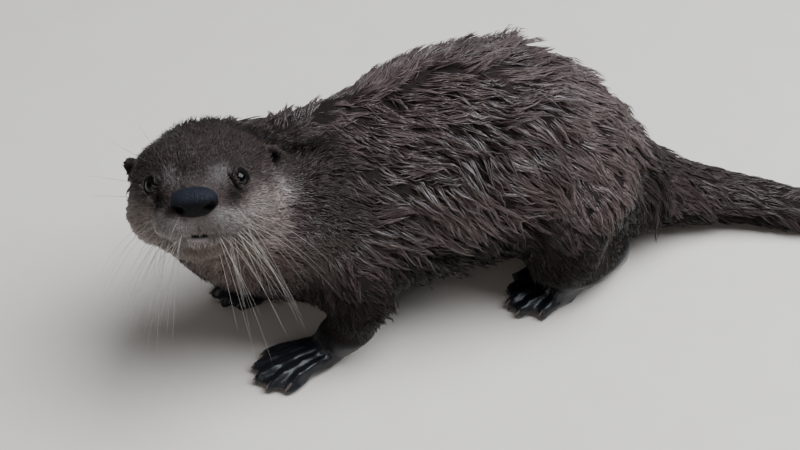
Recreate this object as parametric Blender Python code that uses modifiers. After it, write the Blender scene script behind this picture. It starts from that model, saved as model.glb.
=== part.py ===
"""A young river otter, life size, as a still model in named solids.

It stands low on four webbed feet with its back arched, its tail laid on the floor behind
it and its head raised and turned to its left. The animal faces -Y, its left side is +X,
and the floor is z = 0. Lengths in the tables are millimetres.
"""

import math
from typing import NamedTuple

import bmesh
import bpy
import numpy as np
from mathutils import Matrix, Vector

MM = 0.001  # millimetres to Blender's metres
GAP = 0.3  # clear space between two neighbouring solids
LIMB_CLEARANCE = 0.6  # the same, between a limb and the faceted trunk
NECK_CLEARANCE = 1.0  # the same, around the fused and smoothed neck
SIDES = {"left": -1, "right": 1}  # the sign of x in a frame whose +y is forward


class Station(NamedTuple):
    """One cross-section of a loft: its centre and its half sizes."""

    x: float
    y: float
    z: float
    half_width: float
    half_height: float


# The spine, from inside the head to the tip of the tail.
SPINE = (
    Station(-2, -119, 126, 33, 31),
    Station(-8, -103, 108, 42, 41),
    Station(-10, -82, 90, 48, 45),
    Station(-12, -50, 81, 56, 56),
    Station(-11, -10, 83, 61, 60),
    Station(-9, 30, 90, 64, 66),
    Station(-7, 66, 89, 65, 66),
    Station(-4, 98, 75, 61, 57),
    Station(-1, 128, 57, 48, 41),
    Station(2, 154, 39, 33, 29.5),
    Station(5, 180, 27, 24, 22.5),
    Station(11, 205, 20, 19.5, 18.5),
    Station(23, 229, 16, 16.5, 15.5),
    Station(40, 252, 12.8, 14, 13.2),
    Station(61, 284, 10.4, 11.5, 11),
    Station(76, 320, 7.9, 9, 8.5),
    Station(83, 356, 5.4, 6, 6),
    Station(85, 382, 2.9, 2.5, 3.5),
)
SPINE_CUTS = {"chest": 2.6, "loin": 4.5, "rump": 6.5, "tail_root": 9.0,
              "tail_middle": 11.7, "tail_end": 14.0}  # the station each length starts at

HEAD_CENTRE = Vector((5.5, -118, 130))
HEAD_YAW = math.radians(65)  # to the animal's left
HEAD_PITCH = math.radians(31)  # nose up
HEAD_ROLL = math.radians(5)  # left side up
HEAD_BACK = -28  # where the neck starts, along the head's own axis

NOSE_CENTRE = Vector((0, 43, 0))  # in the head's frame: x right, y forward, z up
NOSE_HALF = Vector((12.9, 6.5, 7.6))
EYE_CENTRE = Vector((21.3, 21.0, 7.0))
EYE_RADIUS = 5.6
EAR_CENTRE = Vector((38.5, -17, 11))
EAR_HALF = Vector((4.2, 8.5, 9.5))
EAR_TURN = math.radians(24)


class Foot(NamedTuple):
    """A webbed foot in its own frame: the ankle over the origin, toes towards +y."""

    length: float  # ankle to toe tip
    palm_width: float
    spread: float  # angle between the outer toes, in degrees
    toe_radius: float
    claw_length: float
    shares: tuple  # each toe's part of the length, inner toe first


FORE_FOOT = Foot(48, 29, 36, 4.4, 6.5, (0.78, 0.95, 1.0, 0.97, 0.80))
HIND_FOOT = Foot(75, 33, 22, 4.9, 7.0, (0.78, 0.91, 0.98, 1.0, 0.88))
TOES = 5


class Leg(NamedTuple):
    """A leg's stations from the hip or shoulder down, and how it is parted."""

    stations: tuple
    joint: float  # the height of the elbow or the knee
    ankle: float  # the height of the ankle
    toe_out: float  # degrees from straight ahead towards +X
    foot: Foot


LEGS = {
    "foreleg_left": Leg(
        (Station(21, -47, 80, 27, 27), Station(28, -46, 62, 25, 28), Station(34, -40, 43, 20, 22),
         Station(30, -46, 25, 14.5, 14.5), Station(24, -53, 12, 12, 11)),
        41, 17, 5, FORE_FOOT),
    "foreleg_right": Leg(
        (Station(-45, -47, 80, 27, 27), Station(-52, -46, 62, 25, 28), Station(-56, -40, 43, 20, 22),
         Station(-50, -44, 25, 14.5, 14.5), Station(-42, -50, 12, 12, 11)),
        41, 17, -9, FORE_FOOT),
    "hindleg_left": Leg(
        (Station(27, 96, 76, 36, 40), Station(35, 88, 56, 32, 36), Station(39, 90, 37, 23, 27),
         Station(31, 112, 24, 17, 18), Station(21, 129, 12, 13, 12)),
        37, 14, 9, HIND_FOOT),
    "hindleg_right": Leg(
        (Station(-39, 96, 76, 36, 40), Station(-47, 88, 56, 32, 36), Station(-51, 90, 37, 23, 27),
         Station(-43, 112, 24, 17, 18), Station(-34, 129, 12, 13, 12)),
        37, 14, -9, HIND_FOOT),
}


# ---------------------------------------------------------------- scene and helpers
def clear_scene():
    """Removes every object, and makes the collections for the otter and its cutters."""
    for obj in list(bpy.data.objects):
        bpy.data.objects.remove(obj)
    for name in ("otter", "cutters"):
        collection = bpy.data.collections.new(name)
        bpy.context.scene.collection.children.link(collection)


def material(name, colour, roughness):
    """A Principled material of one colour."""
    made = bpy.data.materials.new(name)
    made.use_nodes = True
    shader = made.node_tree.nodes["Principled BSDF"]
    shader.inputs["Base Color"].default_value = (*colour, 1)
    shader.inputs["Roughness"].default_value = roughness
    return made


def add_object(name, mesh, finish=None, collection="otter"):
    """Links a mesh, in metres, as an object. A cutter is hidden from the render."""
    obj = bpy.data.objects.new(name, mesh)
    bpy.data.collections[collection].objects.link(obj)
    if finish:
        mesh.materials.clear()
        mesh.materials.append(finish)
    if collection == "cutters":
        obj.hide_render = True
        obj.display_type = "WIRE"
    return obj


def spline_through(values, at):
    """A Catmull-Rom curve through the rows of values, read at the parameters at."""
    values = np.asarray(values, float)
    ends = np.vstack([2 * values[0] - values[1], values, 2 * values[-1] - values[-2]])
    low = np.clip(np.floor(at).astype(int), 0, len(values) - 2)
    t = (at - low)[:, None]
    before, start, end, after = (ends[low + k] for k in range(4))
    return 0.5 * (2 * start + (end - before) * t
                  + (2 * before - 5 * start + 4 * end - after) * t**2
                  + (3 * start - before - 3 * end + after) * t**3)


def rings_along(stations, step, grow, cap_rings):
    """Centres, tangents and half sizes of rings about step apart, with rounded ends."""
    table = np.array(stations, float)
    spans = np.linalg.norm(np.diff(table[:, :3], axis=0), axis=1)
    at = np.concatenate([np.linspace(i, i + 1, max(1, round(span / step)), endpoint=False)
                         for i, span in enumerate(spans)] + [[len(spans)]])
    rows = spline_through(table, at)
    tangents = np.gradient(rows[:, :3], axis=0)
    tangents /= np.linalg.norm(tangents, axis=1, keepdims=True)
    centres, half = rows[:, :3], rows[:, 3:] + grow
    cap = np.linspace(1.3, 0, cap_rings, endpoint=False)
    first = centres[0] - np.outer(np.sin(cap), tangents[0]) * half[0].mean()
    last = centres[-1] + np.outer(np.sin(cap[::-1]), tangents[-1]) * half[-1].mean()
    centres = np.vstack([first, centres, last])
    half = np.vstack([np.outer(np.cos(cap), half[0]), half, np.outer(np.cos(cap[::-1]), half[-1])])
    tangents = np.vstack([np.repeat(tangents[:1], cap_rings, 0), tangents,
                          np.repeat(tangents[-1:], cap_rings, 0)])
    return centres, tangents, half


def loft(name, stations, around, step, grow=0.0, cap_rings=3):
    """A closed mesh whose elliptical rings follow the stations, in metres."""
    centres, tangents, half = rings_along(stations, step, grow, cap_rings)
    side = (1.0, 0.0, 0.0) - tangents * tangents[:, :1]
    side /= np.linalg.norm(side, axis=1, keepdims=True)
    up = np.cross(side, tangents)
    turn = np.linspace(0, 2 * math.pi, around, endpoint=False)
    rings = (centres[:, None]
             + side[:, None] * (half[:, :1] * np.cos(turn))[:, :, None]
             + up[:, None] * (half[:, 1:] * np.sin(turn))[:, :, None])
    bm = bmesh.new()
    loops = [[bm.verts.new(point * MM) for point in ring] for ring in rings]
    for lower, upper in zip(loops, loops[1:]):
        for i in range(around):
            j = (i + 1) % around
            bm.faces.new((lower[i], lower[j], upper[j], upper[i]))
    bm.faces.new(loops[0])
    bm.faces.new(loops[-1])
    bmesh.ops.recalc_face_normals(bm, faces=bm.faces)
    return mesh_from(bm, name)


def mesh_from(bm, name):
    """Turns a bmesh into a mesh and frees it."""
    mesh = bpy.data.meshes.new(name)
    bm.to_mesh(mesh)
    bm.free()
    return mesh


def ellipsoid(name, centre, half, frame=Matrix.Identity(4), around=24, turn=None):
    """A stretched sphere at centre in the frame, optionally turned there first."""
    place = frame @ Matrix.Translation(centre) @ (turn or Matrix.Identity(4))
    bm = bmesh.new()
    bmesh.ops.create_uvsphere(bm, u_segments=around, v_segments=around // 2, radius=1,
                              matrix=place @ Matrix.Diagonal((*half, 1)))
    bmesh.ops.scale(bm, vec=(MM, MM, MM), verts=bm.verts)
    return mesh_from(bm, name)


def evaluated(obj):
    """The object's mesh with its modifiers applied, as a new mesh."""
    graph = bpy.context.evaluated_depsgraph_get()
    return bpy.data.meshes.new_from_object(obj.evaluated_get(graph))


def fuse(name, meshes, voxel, smoothing, triangles, finish=None):
    """Joins overlapping meshes into one smooth skin of about that many triangles."""
    bm = bmesh.new()
    for mesh in meshes:
        bm.from_mesh(mesh)
    obj = add_object(name, mesh_from(bm, name), finish)
    remesh = obj.modifiers.new("fuse", "REMESH")
    remesh.mode = "VOXEL"
    remesh.voxel_size = voxel * MM
    smooth = obj.modifiers.new("smooth", "SMOOTH")
    smooth.factor = 0.5
    smooth.iterations = smoothing
    obj.data = evaluated(obj)
    obj.modifiers.clear()
    thin = obj.modifiers.new("thin", "DECIMATE")
    thin.ratio = triangles / (2 * len(obj.data.polygons))
    thin.use_collapse_triangulate = True
    obj.data = evaluated(obj)
    obj.modifiers.clear()
    return obj


def boolean(obj, cutter_meshes, operation="DIFFERENCE"):
    """Cuts the object by the meshes, which don't cross one another."""
    bm = bmesh.new()
    for mesh in cutter_meshes:
        bm.from_mesh(mesh)
    cutter = add_object("cutter", mesh_from(bm, "cutter"), collection="cutters")
    cut = obj.modifiers.new("cut", "BOOLEAN")
    cut.operation = operation
    cut.object = cutter
    finished = evaluated(obj)
    obj.modifiers.clear()
    obj.data = finished
    bpy.data.objects.remove(cutter)
    return obj


def bisected(mesh, point, normal, name):
    """The closed half of a mesh that lies on the side the normal points to."""
    bm = bmesh.new()
    bm.from_mesh(mesh)
    geometry = bm.verts[:] + bm.edges[:] + bm.faces[:]
    bmesh.ops.bisect_plane(bm, geom=geometry, plane_co=Vector(point) * MM,
                           plane_no=Vector(normal), clear_inner=True)
    bmesh.ops.holes_fill(bm, edges=[edge for edge in bm.edges if edge.is_boundary])
    bmesh.ops.recalc_face_normals(bm, faces=bm.faces)
    return mesh_from(bm, name)


def between(mesh, start, end, name):
    """The length of a mesh between two (point, direction) planes, or to its end."""
    if start:
        point, direction = start
        mesh = bisected(mesh, point + direction * GAP / 2, direction, name)
    if end:
        point, direction = end
        mesh = bisected(mesh, point - direction * GAP / 2, -direction, name)
    return mesh


def plane_at(stations, at):
    """The plane square to a loft's line at a station number, which may lie between two."""
    table = np.array(stations, float)
    point, ahead = spline_through(table, np.array([at, at + 0.01]))[:, :3]
    return Vector(point), Vector(ahead - point).normalized()


# ---------------------------------------------------------------- the animal's parts
def head_frame():
    """The head's axes: x to its right, y out of its nose, z up, at its centre."""
    forward = Vector((math.sin(HEAD_YAW) * math.cos(HEAD_PITCH),
                      -math.cos(HEAD_YAW) * math.cos(HEAD_PITCH), math.sin(HEAD_PITCH)))
    right = forward.cross(Vector((0, 0, 1))).normalized()
    up = right.cross(forward)
    axes = Matrix((right, forward, up)).transposed() @ Matrix.Rotation(HEAD_ROLL, 3, "Y")
    return Matrix.Translation(HEAD_CENTRE) @ axes.to_4x4()


def mirrored(point, side):
    """A point given for the right side, moved to that side."""
    return Vector((point[0] * side, point[1], point[2]))


def nose_meshes(frame, grow):
    """The nose pad: a wide bean with a wing over each nostril."""
    more = Vector((grow,) * 3)
    pad = ellipsoid("pad", NOSE_CENTRE, NOSE_HALF + more, frame)
    wings = [ellipsoid("wing", mirrored((7.4, 42, -1.6), side), Vector((5.6, 5.8, 5.0)) + more,
                       frame) for side in SIDES.values()]
    lip = ellipsoid("lip", (0, 42.5, -5.4), Vector((5.4, 4.8, 3.4)) + more, frame)
    return [pad, *wings, lip]


def build_head(frame, coat):
    """The skull, muzzle, cheeks, brows and jaw fused, with room for what sits in it."""
    shapes = [
        ellipsoid("cranium", (0, -14, 5), (40, 38, 28), frame),
        ellipsoid("crown", (0, -22, 12), (31, 30, 23), frame),
        ellipsoid("face", (0, 8, 0), (29, 30, 20), frame),
        ellipsoid("muzzle", (0, 22, -6), (23, 21, 14), frame),
        ellipsoid("bridge", (0, 27, 4), (13, 16, 7.5), frame),
        ellipsoid("chin", (0, 16, -23), (17, 20, 12), frame),
        ellipsoid("throat", (0, -8, -20), (29, 27, 20), frame),
        loft("nape", SPINE[:4], around=40, step=6),
    ]
    for side in SIDES.values():
        shapes += [
            ellipsoid("cheek", mirrored((21.5, -4, -10), side), (20, 26, 19), frame),
            ellipsoid("whisker_pad", mirrored((10.5, 29, -10), side), (14.5, 14, 11.5), frame),
            ellipsoid("brow", mirrored((16, 8, 12), side), (12, 13, 8), frame),
        ]
    head = fuse("head", shapes, voxel=2.0, smoothing=12, triangles=1200, finish=coat)
    chest = plane_at(SPINE, SPINE_CUTS["chest"])
    behind = (frame @ Vector((0, HEAD_BACK, 0)), -frame.to_3x3().col[1])
    head.data = between(head.data, None, chest, "head")
    add_object("neck", between(head.data, behind, None, "neck"), coat)
    head.data = between(head.data, None, behind, "head")
    room = [ellipsoid("socket", mirrored(EYE_CENTRE, side), (EYE_RADIUS + GAP,) * 3, frame)
            for side in SIDES.values()]
    boolean(head, room)
    for mesh in nose_meshes(frame, GAP) + [ear_mesh(frame, side, GAP) for side in SIDES.values()]:
        boolean(head, [mesh])
    return head


def ear_mesh(frame, side, grow=0.0):
    """The outer form of an ear: a low round flap leaning back from the head."""
    turn = Matrix.Rotation(-EAR_TURN * side, 4, "Z") @ Matrix.Rotation(EAR_TURN * side, 4, "Y")
    half = EAR_HALF + Vector((grow,) * 3)
    return ellipsoid("ear", mirrored(EAR_CENTRE, side), half, frame, around=12, turn=turn)


def build_ears(frame, skin):
    """The two ears, each hollowed at the front so that it cups forwards."""
    for name, side in SIDES.items():
        ear = add_object(f"ear_{name}", ear_mesh(frame, side), skin)
        hollow = ellipsoid("hollow", mirrored(EAR_CENTRE + Vector((2.6, 5.4, 1.0)), side),
                           (3.4, 5.6, 6.2), frame, around=10)
        boolean(ear, [hollow])


def build_eyes_and_nose(frame, eye, leather):
    """Two round eyes and the nose pad, fused and pierced by its nostrils."""
    for name, side in SIDES.items():
        add_object(f"eye_{name}", ellipsoid("eye", mirrored(EYE_CENTRE, side), (EYE_RADIUS,) * 3,
                                            frame, around=14), eye)
    nose = fuse("nose", nose_meshes(frame, 0), voxel=0.8, smoothing=4, triangles=260, finish=leather)
    nostrils = [ellipsoid("nostril", mirrored((7.6, 49.0, -2.2), side), (3.0, 4.0, 2.0), frame,
                          around=8) for side in SIDES.values()]
    boolean(nose, nostrils)


def spine_mesh(grow=0.0):
    """The trunk and tail as one loft."""
    return loft("spine", SPINE, around=24, step=24, grow=grow, cap_rings=2)


def build_trunk_and_tail(coat):
    """One loft from neck to tail tip, parted by thin cuts square to the spine."""
    whole = resting(spine_mesh())
    names = list(SPINE_CUTS)
    planes = [plane_at(SPINE, at) for at in SPINE_CUTS.values()] + [None]
    for name, start, end in zip(names, planes, planes[1:]):
        add_object(name, between(whole, start, end, name), coat)


def resting(mesh):
    """The mesh cut flat at the floor."""
    lowest = min(v.co.z for v in mesh.vertices)
    return bisected(mesh, (0, 0, 0), (0, 0, 1), mesh.name) if lowest < 0 else mesh


def foot_frame(leg):
    """The foot's axes: x to its right, y along its toes, on the floor below the ankle."""
    turn = math.radians(leg.toe_out) + math.pi  # toes point to -Y before they turn out
    end = leg.stations[-1]
    return Matrix.Translation((end.x, end.y, 0)) @ Matrix.Rotation(turn, 4, "Z")


def toe_line(foot, number, inner):
    """A toe's knuckle, middle and tip in the foot's frame. inner is the inner side's sign."""
    share = number / (TOES - 1)
    angle = math.radians(foot.spread) * (share - 0.5)
    reach = foot.length * foot.shares[number]
    across = -inner * (share - 0.5) * foot.palm_width * 0.62
    knuckle = foot.length * 0.36

    def along(part, height):
        length = knuckle + (reach - knuckle) * part
        bend = math.sin(angle) * (reach - knuckle) * part * -inner
        return Vector((across + bend, length * (1 - 0.10 * abs(share - 0.5)), height))

    radius = foot.toe_radius
    return along(0, radius * 1.9), along(0.55, radius * 1.75), along(1, radius * 0.95)


def foot_shapes(foot, inner, frame):
    """The palm, the toes and the web between them, in the object's place."""
    palm = foot.length * 0.36
    shapes = [
        ellipsoid("palm", (0, palm * 0.75, 6.5), (foot.palm_width * 0.46, palm, 7.5), frame),
        ellipsoid("heel", (0, 0, 9), (11, 11, 10), frame),
        ellipsoid("web", (0, foot.length * 0.60, 3.2),
                  (foot.palm_width * 0.60, foot.length * 0.30, 2.6), frame),
    ]
    for number in range(TOES):
        points = [frame @ p for p in toe_line(foot, number, inner)]
        radius = foot.toe_radius
        sizes = (radius * 1.1, radius * 0.86, radius * 0.92)
        shapes.append(loft("toe", [Station(*p, r, r * 0.92) for p, r in zip(points, sizes)],
                           around=14, step=3))
    return shapes


def claw_mesh(foot, number, inner, frame, grow=0.0):
    """A claw: a short tapering hook out of the upper front of a toe."""
    _, middle, tip = toe_line(foot, number, inner)
    ahead = Vector((tip.x - middle.x, tip.y - middle.y, 0)).normalized()
    radius = foot.toe_radius * 0.36
    points = [tip + ahead * (foot.claw_length * along) + Vector((0, 0, foot.toe_radius * rise))
              for along, rise in ((0.0, 0.42), (0.45, 0.45), (0.8, 0.12))]
    sizes = (radius, radius * 0.85, radius * 0.42)
    return loft("claw", [Station(*(frame @ p), r * 0.8, r) for p, r in zip(points, sizes)],
                around=6, step=6, grow=grow, cap_rings=1)


def build_leg(name, leg, coat, skin, horn):
    """One leg: an upper and a lower length, a webbed foot and its five claws."""
    inner = -SIDES[name.split("_")[1]]
    frame = foot_frame(leg)
    up = Vector((0, 0, 1))
    joint = (up * leg.joint, -up)
    ankle = (up * leg.ankle, -up)

    foot_name = name.replace("leg", "foot")
    shapes = foot_shapes(leg.foot, inner, frame) + [loft("shin", leg.stations[-3:], 20, 5)]
    foot = fuse(foot_name, shapes, voxel=1.3, smoothing=4, triangles=215, finish=skin)
    foot.data = resting(between(foot.data, ankle, None, foot_name))
    boolean(foot, [claw_mesh(leg.foot, n, inner, frame, GAP) for n in range(TOES)])
    for number in range(TOES):
        claw = resting(claw_mesh(leg.foot, number, inner, frame))
        add_object(f"claw_{foot_name}_{number + 1}", claw, horn)

    limb = add_object(name, loft(name, leg.stations, around=16, step=14, cap_rings=2), coat)
    boolean(limb, [spine_mesh(LIMB_CLEARANCE)])
    boolean(limb, [loft("neck", SPINE[:4], around=24, step=12, grow=NECK_CLEARANCE)])
    upper, lower = f"upper_{name}", f"lower_{name}"
    add_object(upper, between(limb.data, None, joint, upper), coat)
    add_object(lower, between(limb.data, joint, ankle, lower), coat)
    bpy.data.objects.remove(limb)


def centre_on_origin():
    """Moves the animal so that the origin is under the middle of its bounding box."""
    objects = bpy.data.collections["otter"].objects
    corners = np.array([v.co for obj in objects for v in obj.data.vertices])
    low, high = corners.min(0), corners.max(0)
    middle = (low + high) / 2
    for obj in objects:
        obj.data.transform(Matrix.Translation((-middle[0], -middle[1], -low[2])))


def main():
    clear_scene()
    coat = material("coat", (0.045, 0.032, 0.027), 0.5)
    skin = material("bare_skin", (0.015, 0.014, 0.016), 0.35)
    eye = material("eye", (0.01, 0.008, 0.008), 0.05)
    leather = material("nose_leather", (0.018, 0.018, 0.022), 0.4)
    horn = material("claw_horn", (0.35, 0.26, 0.2), 0.4)
    frame = head_frame()
    build_head(frame, coat)
    build_ears(frame, coat)
    build_eyes_and_nose(frame, eye, leather)
    build_trunk_and_tail(coat)
    for name, leg in LEGS.items():
        build_leg(name, leg, coat, skin, horn)
    centre_on_origin()


main()
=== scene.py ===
"""The looks of a young river otter, wet from a swim: one skin, its coat of pointed locks,
the face, the webbed feet and the studio round it. Lengths here are in millimetres until
a mesh is made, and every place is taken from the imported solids."""

import logging
import math
from dataclasses import dataclass, field
from enum import Enum
from typing import Callable, Sequence

import bmesh
import bpy
import numpy as np
from mathutils import Matrix, Vector


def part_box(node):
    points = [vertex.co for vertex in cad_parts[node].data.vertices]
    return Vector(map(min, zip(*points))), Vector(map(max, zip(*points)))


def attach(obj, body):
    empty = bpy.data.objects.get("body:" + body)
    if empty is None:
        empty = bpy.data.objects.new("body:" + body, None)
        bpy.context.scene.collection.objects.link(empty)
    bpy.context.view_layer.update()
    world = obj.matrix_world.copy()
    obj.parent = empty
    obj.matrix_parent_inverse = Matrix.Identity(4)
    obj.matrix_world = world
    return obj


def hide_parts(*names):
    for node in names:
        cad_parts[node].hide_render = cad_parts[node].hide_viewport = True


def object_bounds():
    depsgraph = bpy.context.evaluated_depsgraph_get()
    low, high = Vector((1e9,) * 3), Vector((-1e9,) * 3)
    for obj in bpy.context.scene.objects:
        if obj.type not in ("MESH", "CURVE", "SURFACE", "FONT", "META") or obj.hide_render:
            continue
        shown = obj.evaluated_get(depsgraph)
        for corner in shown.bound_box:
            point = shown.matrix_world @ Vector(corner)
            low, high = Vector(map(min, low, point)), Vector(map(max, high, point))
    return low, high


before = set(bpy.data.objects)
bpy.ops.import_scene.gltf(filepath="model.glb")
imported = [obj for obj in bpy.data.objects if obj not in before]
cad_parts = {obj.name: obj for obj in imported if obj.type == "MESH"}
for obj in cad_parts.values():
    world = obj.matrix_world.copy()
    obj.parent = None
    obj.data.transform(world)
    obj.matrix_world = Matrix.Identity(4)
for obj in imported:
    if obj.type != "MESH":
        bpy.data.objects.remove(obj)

CAD_BOX = [list(corner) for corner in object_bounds()]
MM = 0.001
PHASE = 6.28  # random phases and angles run from 0 to this, a full turn in radians
PATCH = 0.003  # how wide a tuft's patch is on the map
Array = np.ndarray
log = logging.getLogger("otter")


class Region(Enum):
    """The parts of the body that differ in coat, each with its solids' name beginnings."""

    HEAD = ("head", "nose", "eye")
    EAR = ("ear",)
    NECK = ("neck",)
    TRUNK = ("chest", "loin", "rump")
    TAIL = ("tail",)
    THIGH = ("upper",)
    SHANK = ("lower",)
    FOOT = ("forefoot", "hindfoot")


REGIONS = list(Region)


# ---------------- numbers and meshes
def unit(rows: Array) -> Array:
    """Rows scaled to length one.

    Args:
        rows: vectors along the last axis.

    Returns:
        The same vectors over their lengths.
    """
    return rows / np.maximum(np.linalg.norm(rows, axis=-1, keepdims=True), 1e-9)


def ease(value: Array, low: float, high: float) -> Array:
    """A smooth step: 0 below low, 1 above high, and 3t^2 - 2t^3 between them.

    Args:
        value: what is tested.
        low: where the step starts.
        high: where it ends; it may be under low, and the step then falls.

    Returns:
        The step's height at each value.
    """
    t = np.clip((value - low) / (high - low), 0, 1)
    return t * t * (3 - 2 * t)


def hump(value: Array, centre: float, width: float) -> Array:
    """A bell curve of height one: exp of minus ((value - centre) / width) squared."""
    return np.exp(-(((value - centre) / width) ** 2))


def folded(places: Array) -> tuple[Array, Array, Array]:
    """The distance of places from their frame's middle plane, and their y and z."""
    return np.abs(places[:, 0]), places[:, 1], places[:, 2]


def along_skin(rows: Array, normals: Array) -> Array:
    """Rows without their part along the skin's normals."""
    return rows - normals * (rows * normals).sum(1, keepdims=True)


def summed(group: Array, rows: Array) -> Array:
    """The sum of each group's rows, one row for each group."""
    return np.stack([np.bincount(group, column) for column in rows.T], -1)


def listed(grid: Array) -> Array:
    """The rows of a grid in one list, with the poles, its first and last row, given once."""
    return np.concatenate([grid[:1, 0], grid[1:-1].reshape(-1, grid.shape[-1]), grid[-1:, 0]])


def ripple(points: Array, wavelength: float, seed: int) -> Array:
    """Smooth noise between about -1 and 1: the mean of seven sines in random directions.

    Args:
        points: places in millimetres.
        wavelength: the typical distance between crests.
        seed: chooses the directions and phases.

    Returns:
        One value for each point.
    """
    rng = np.random.default_rng(seed)
    waves, gain = 7, 1.9
    ways = unit(rng.normal(size=(waves, 3))) * (2 * math.pi / wavelength)
    ways = ways * rng.uniform(0.6, 1.6, (waves, 1))
    return np.sin(points @ ways.T + rng.uniform(0, PHASE, waves)).mean(1) * gain


def arrays_of(name: str) -> tuple[Array, Array]:
    """A solid's points, merged where they coincide, and its triangles.

    Args:
        name: the solid.

    Returns:
        Points in millimetres and rows of three point numbers.
    """
    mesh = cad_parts[name].data
    points = np.empty(len(mesh.vertices) * 3, np.float32)
    mesh.vertices.foreach_get("co", points)
    mesh.calc_loop_triangles()
    faces = np.empty(len(mesh.loop_triangles) * 3, np.int32)
    mesh.loop_triangles.foreach_get("vertices", faces)
    points = points.reshape(-1, 3).astype(float) / MM
    _, first, same = np.unique(points.round(3), axis=0, return_index=True, return_inverse=True)
    faces = same.reshape(-1)[faces.reshape(-1, 3)]
    return points[first], faces[(faces != np.roll(faces, 1, axis=1)).all(1)]


def make_mesh(name: str, points: Array, loops: Array, sizes: Array) -> bpy.types.Mesh:
    """A smooth-shaded mesh from flat arrays.

    Args:
        name: the mesh's name.
        points: places in millimetres.
        loops: the point numbers of every face, one face after another.
        sizes: how many points each face has.

    Returns:
        The mesh, in metres.
    """
    mesh = bpy.data.meshes.new(name)
    mesh.vertices.add(len(points))
    mesh.vertices.foreach_set("co", (points * MM).astype(np.float32).ravel())
    mesh.loops.add(len(loops))
    mesh.loops.foreach_set("vertex_index", loops.astype(np.int32))
    mesh.polygons.add(len(sizes))
    mesh.polygons.foreach_set("loop_start", (np.cumsum(sizes) - sizes).astype(np.int32))
    mesh.polygons.foreach_set("use_smooth", np.ones(len(sizes), bool))
    mesh.update(calc_edges=True)
    return mesh


def add_piece(name: str, mesh: bpy.types.Mesh, material: bpy.types.Material,
              nodes: Sequence[str] = ()) -> bpy.types.Object:
    """Puts a mesh in the scene as a piece of the animal.

    Args:
        name: the piece's name.
        mesh: its mesh, in place.
        material: what it is made of.
        nodes: the solids it stands for.

    Returns:
        The piece.
    """
    piece = bpy.data.objects.new(name, mesh)
    bpy.context.scene.collection.objects.link(piece)
    mesh.materials.clear()
    mesh.materials.append(material)
    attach(piece, "root")
    if nodes:
        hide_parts(*nodes)
    mesh.calc_loop_triangles()
    log.info("%s: %d triangles", name, len(mesh.loop_triangles))
    return piece


def paint(mesh: bpy.types.Mesh, name: str, columns: Array) -> None:
    """Stores four numbers at every point of a mesh as an attribute.

    Args:
        mesh: the mesh.
        name: the attribute's name.
        columns: four columns, one row for each point.
    """
    layer = mesh.attributes.new(name, "FLOAT_COLOR", "POINT")
    layer.data.foreach_set("color", columns.astype(np.float32).ravel())


def tube_faces(rings: int, sides: int) -> tuple[Array, Array, Array]:
    """The faces of one closed spike: a base, rings of quads, and a fan up to the tip.

    Args:
        rings: how many rings it has below its tip.
        sides: how many points each ring has.

    Returns:
        The point numbers of its faces in a row, each face's size, and each corner's share of
        the way round and of the way along.
    """
    ring, side = np.meshgrid(np.arange(rings - 1), np.arange(sides), indexing="ij")
    here, beside = ring * sides + side, ring * sides + (side + 1) % sides
    quads = np.stack([here, beside, beside + sides, here + sides], -1)
    last, turn = (rings - 1) * sides, np.arange(sides)
    fan = np.stack([last + turn, last + (turn + 1) % sides, np.full(sides, rings * sides)], -1)
    loops = np.concatenate([turn[::-1], quads.ravel(), fan.ravel()])
    sizes = np.concatenate([[sides], np.full(quads.size // 4, 4), np.full(sides, 3)])
    around = np.concatenate([turn[::-1], np.stack([side, side + 1, side + 1, side], -1).ravel(),
                             np.stack([turn, turn + 1, turn + 0.5], -1).ravel()]) / sides
    top = np.full(sides, rings - 1)
    along = np.concatenate([turn * 0, np.stack([ring, ring, ring + 1, ring + 1], -1).ravel(),
                            np.stack([top, top, top + 1], -1).ravel()]) / rings
    return loops, sizes, np.stack([around, along], -1)


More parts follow.
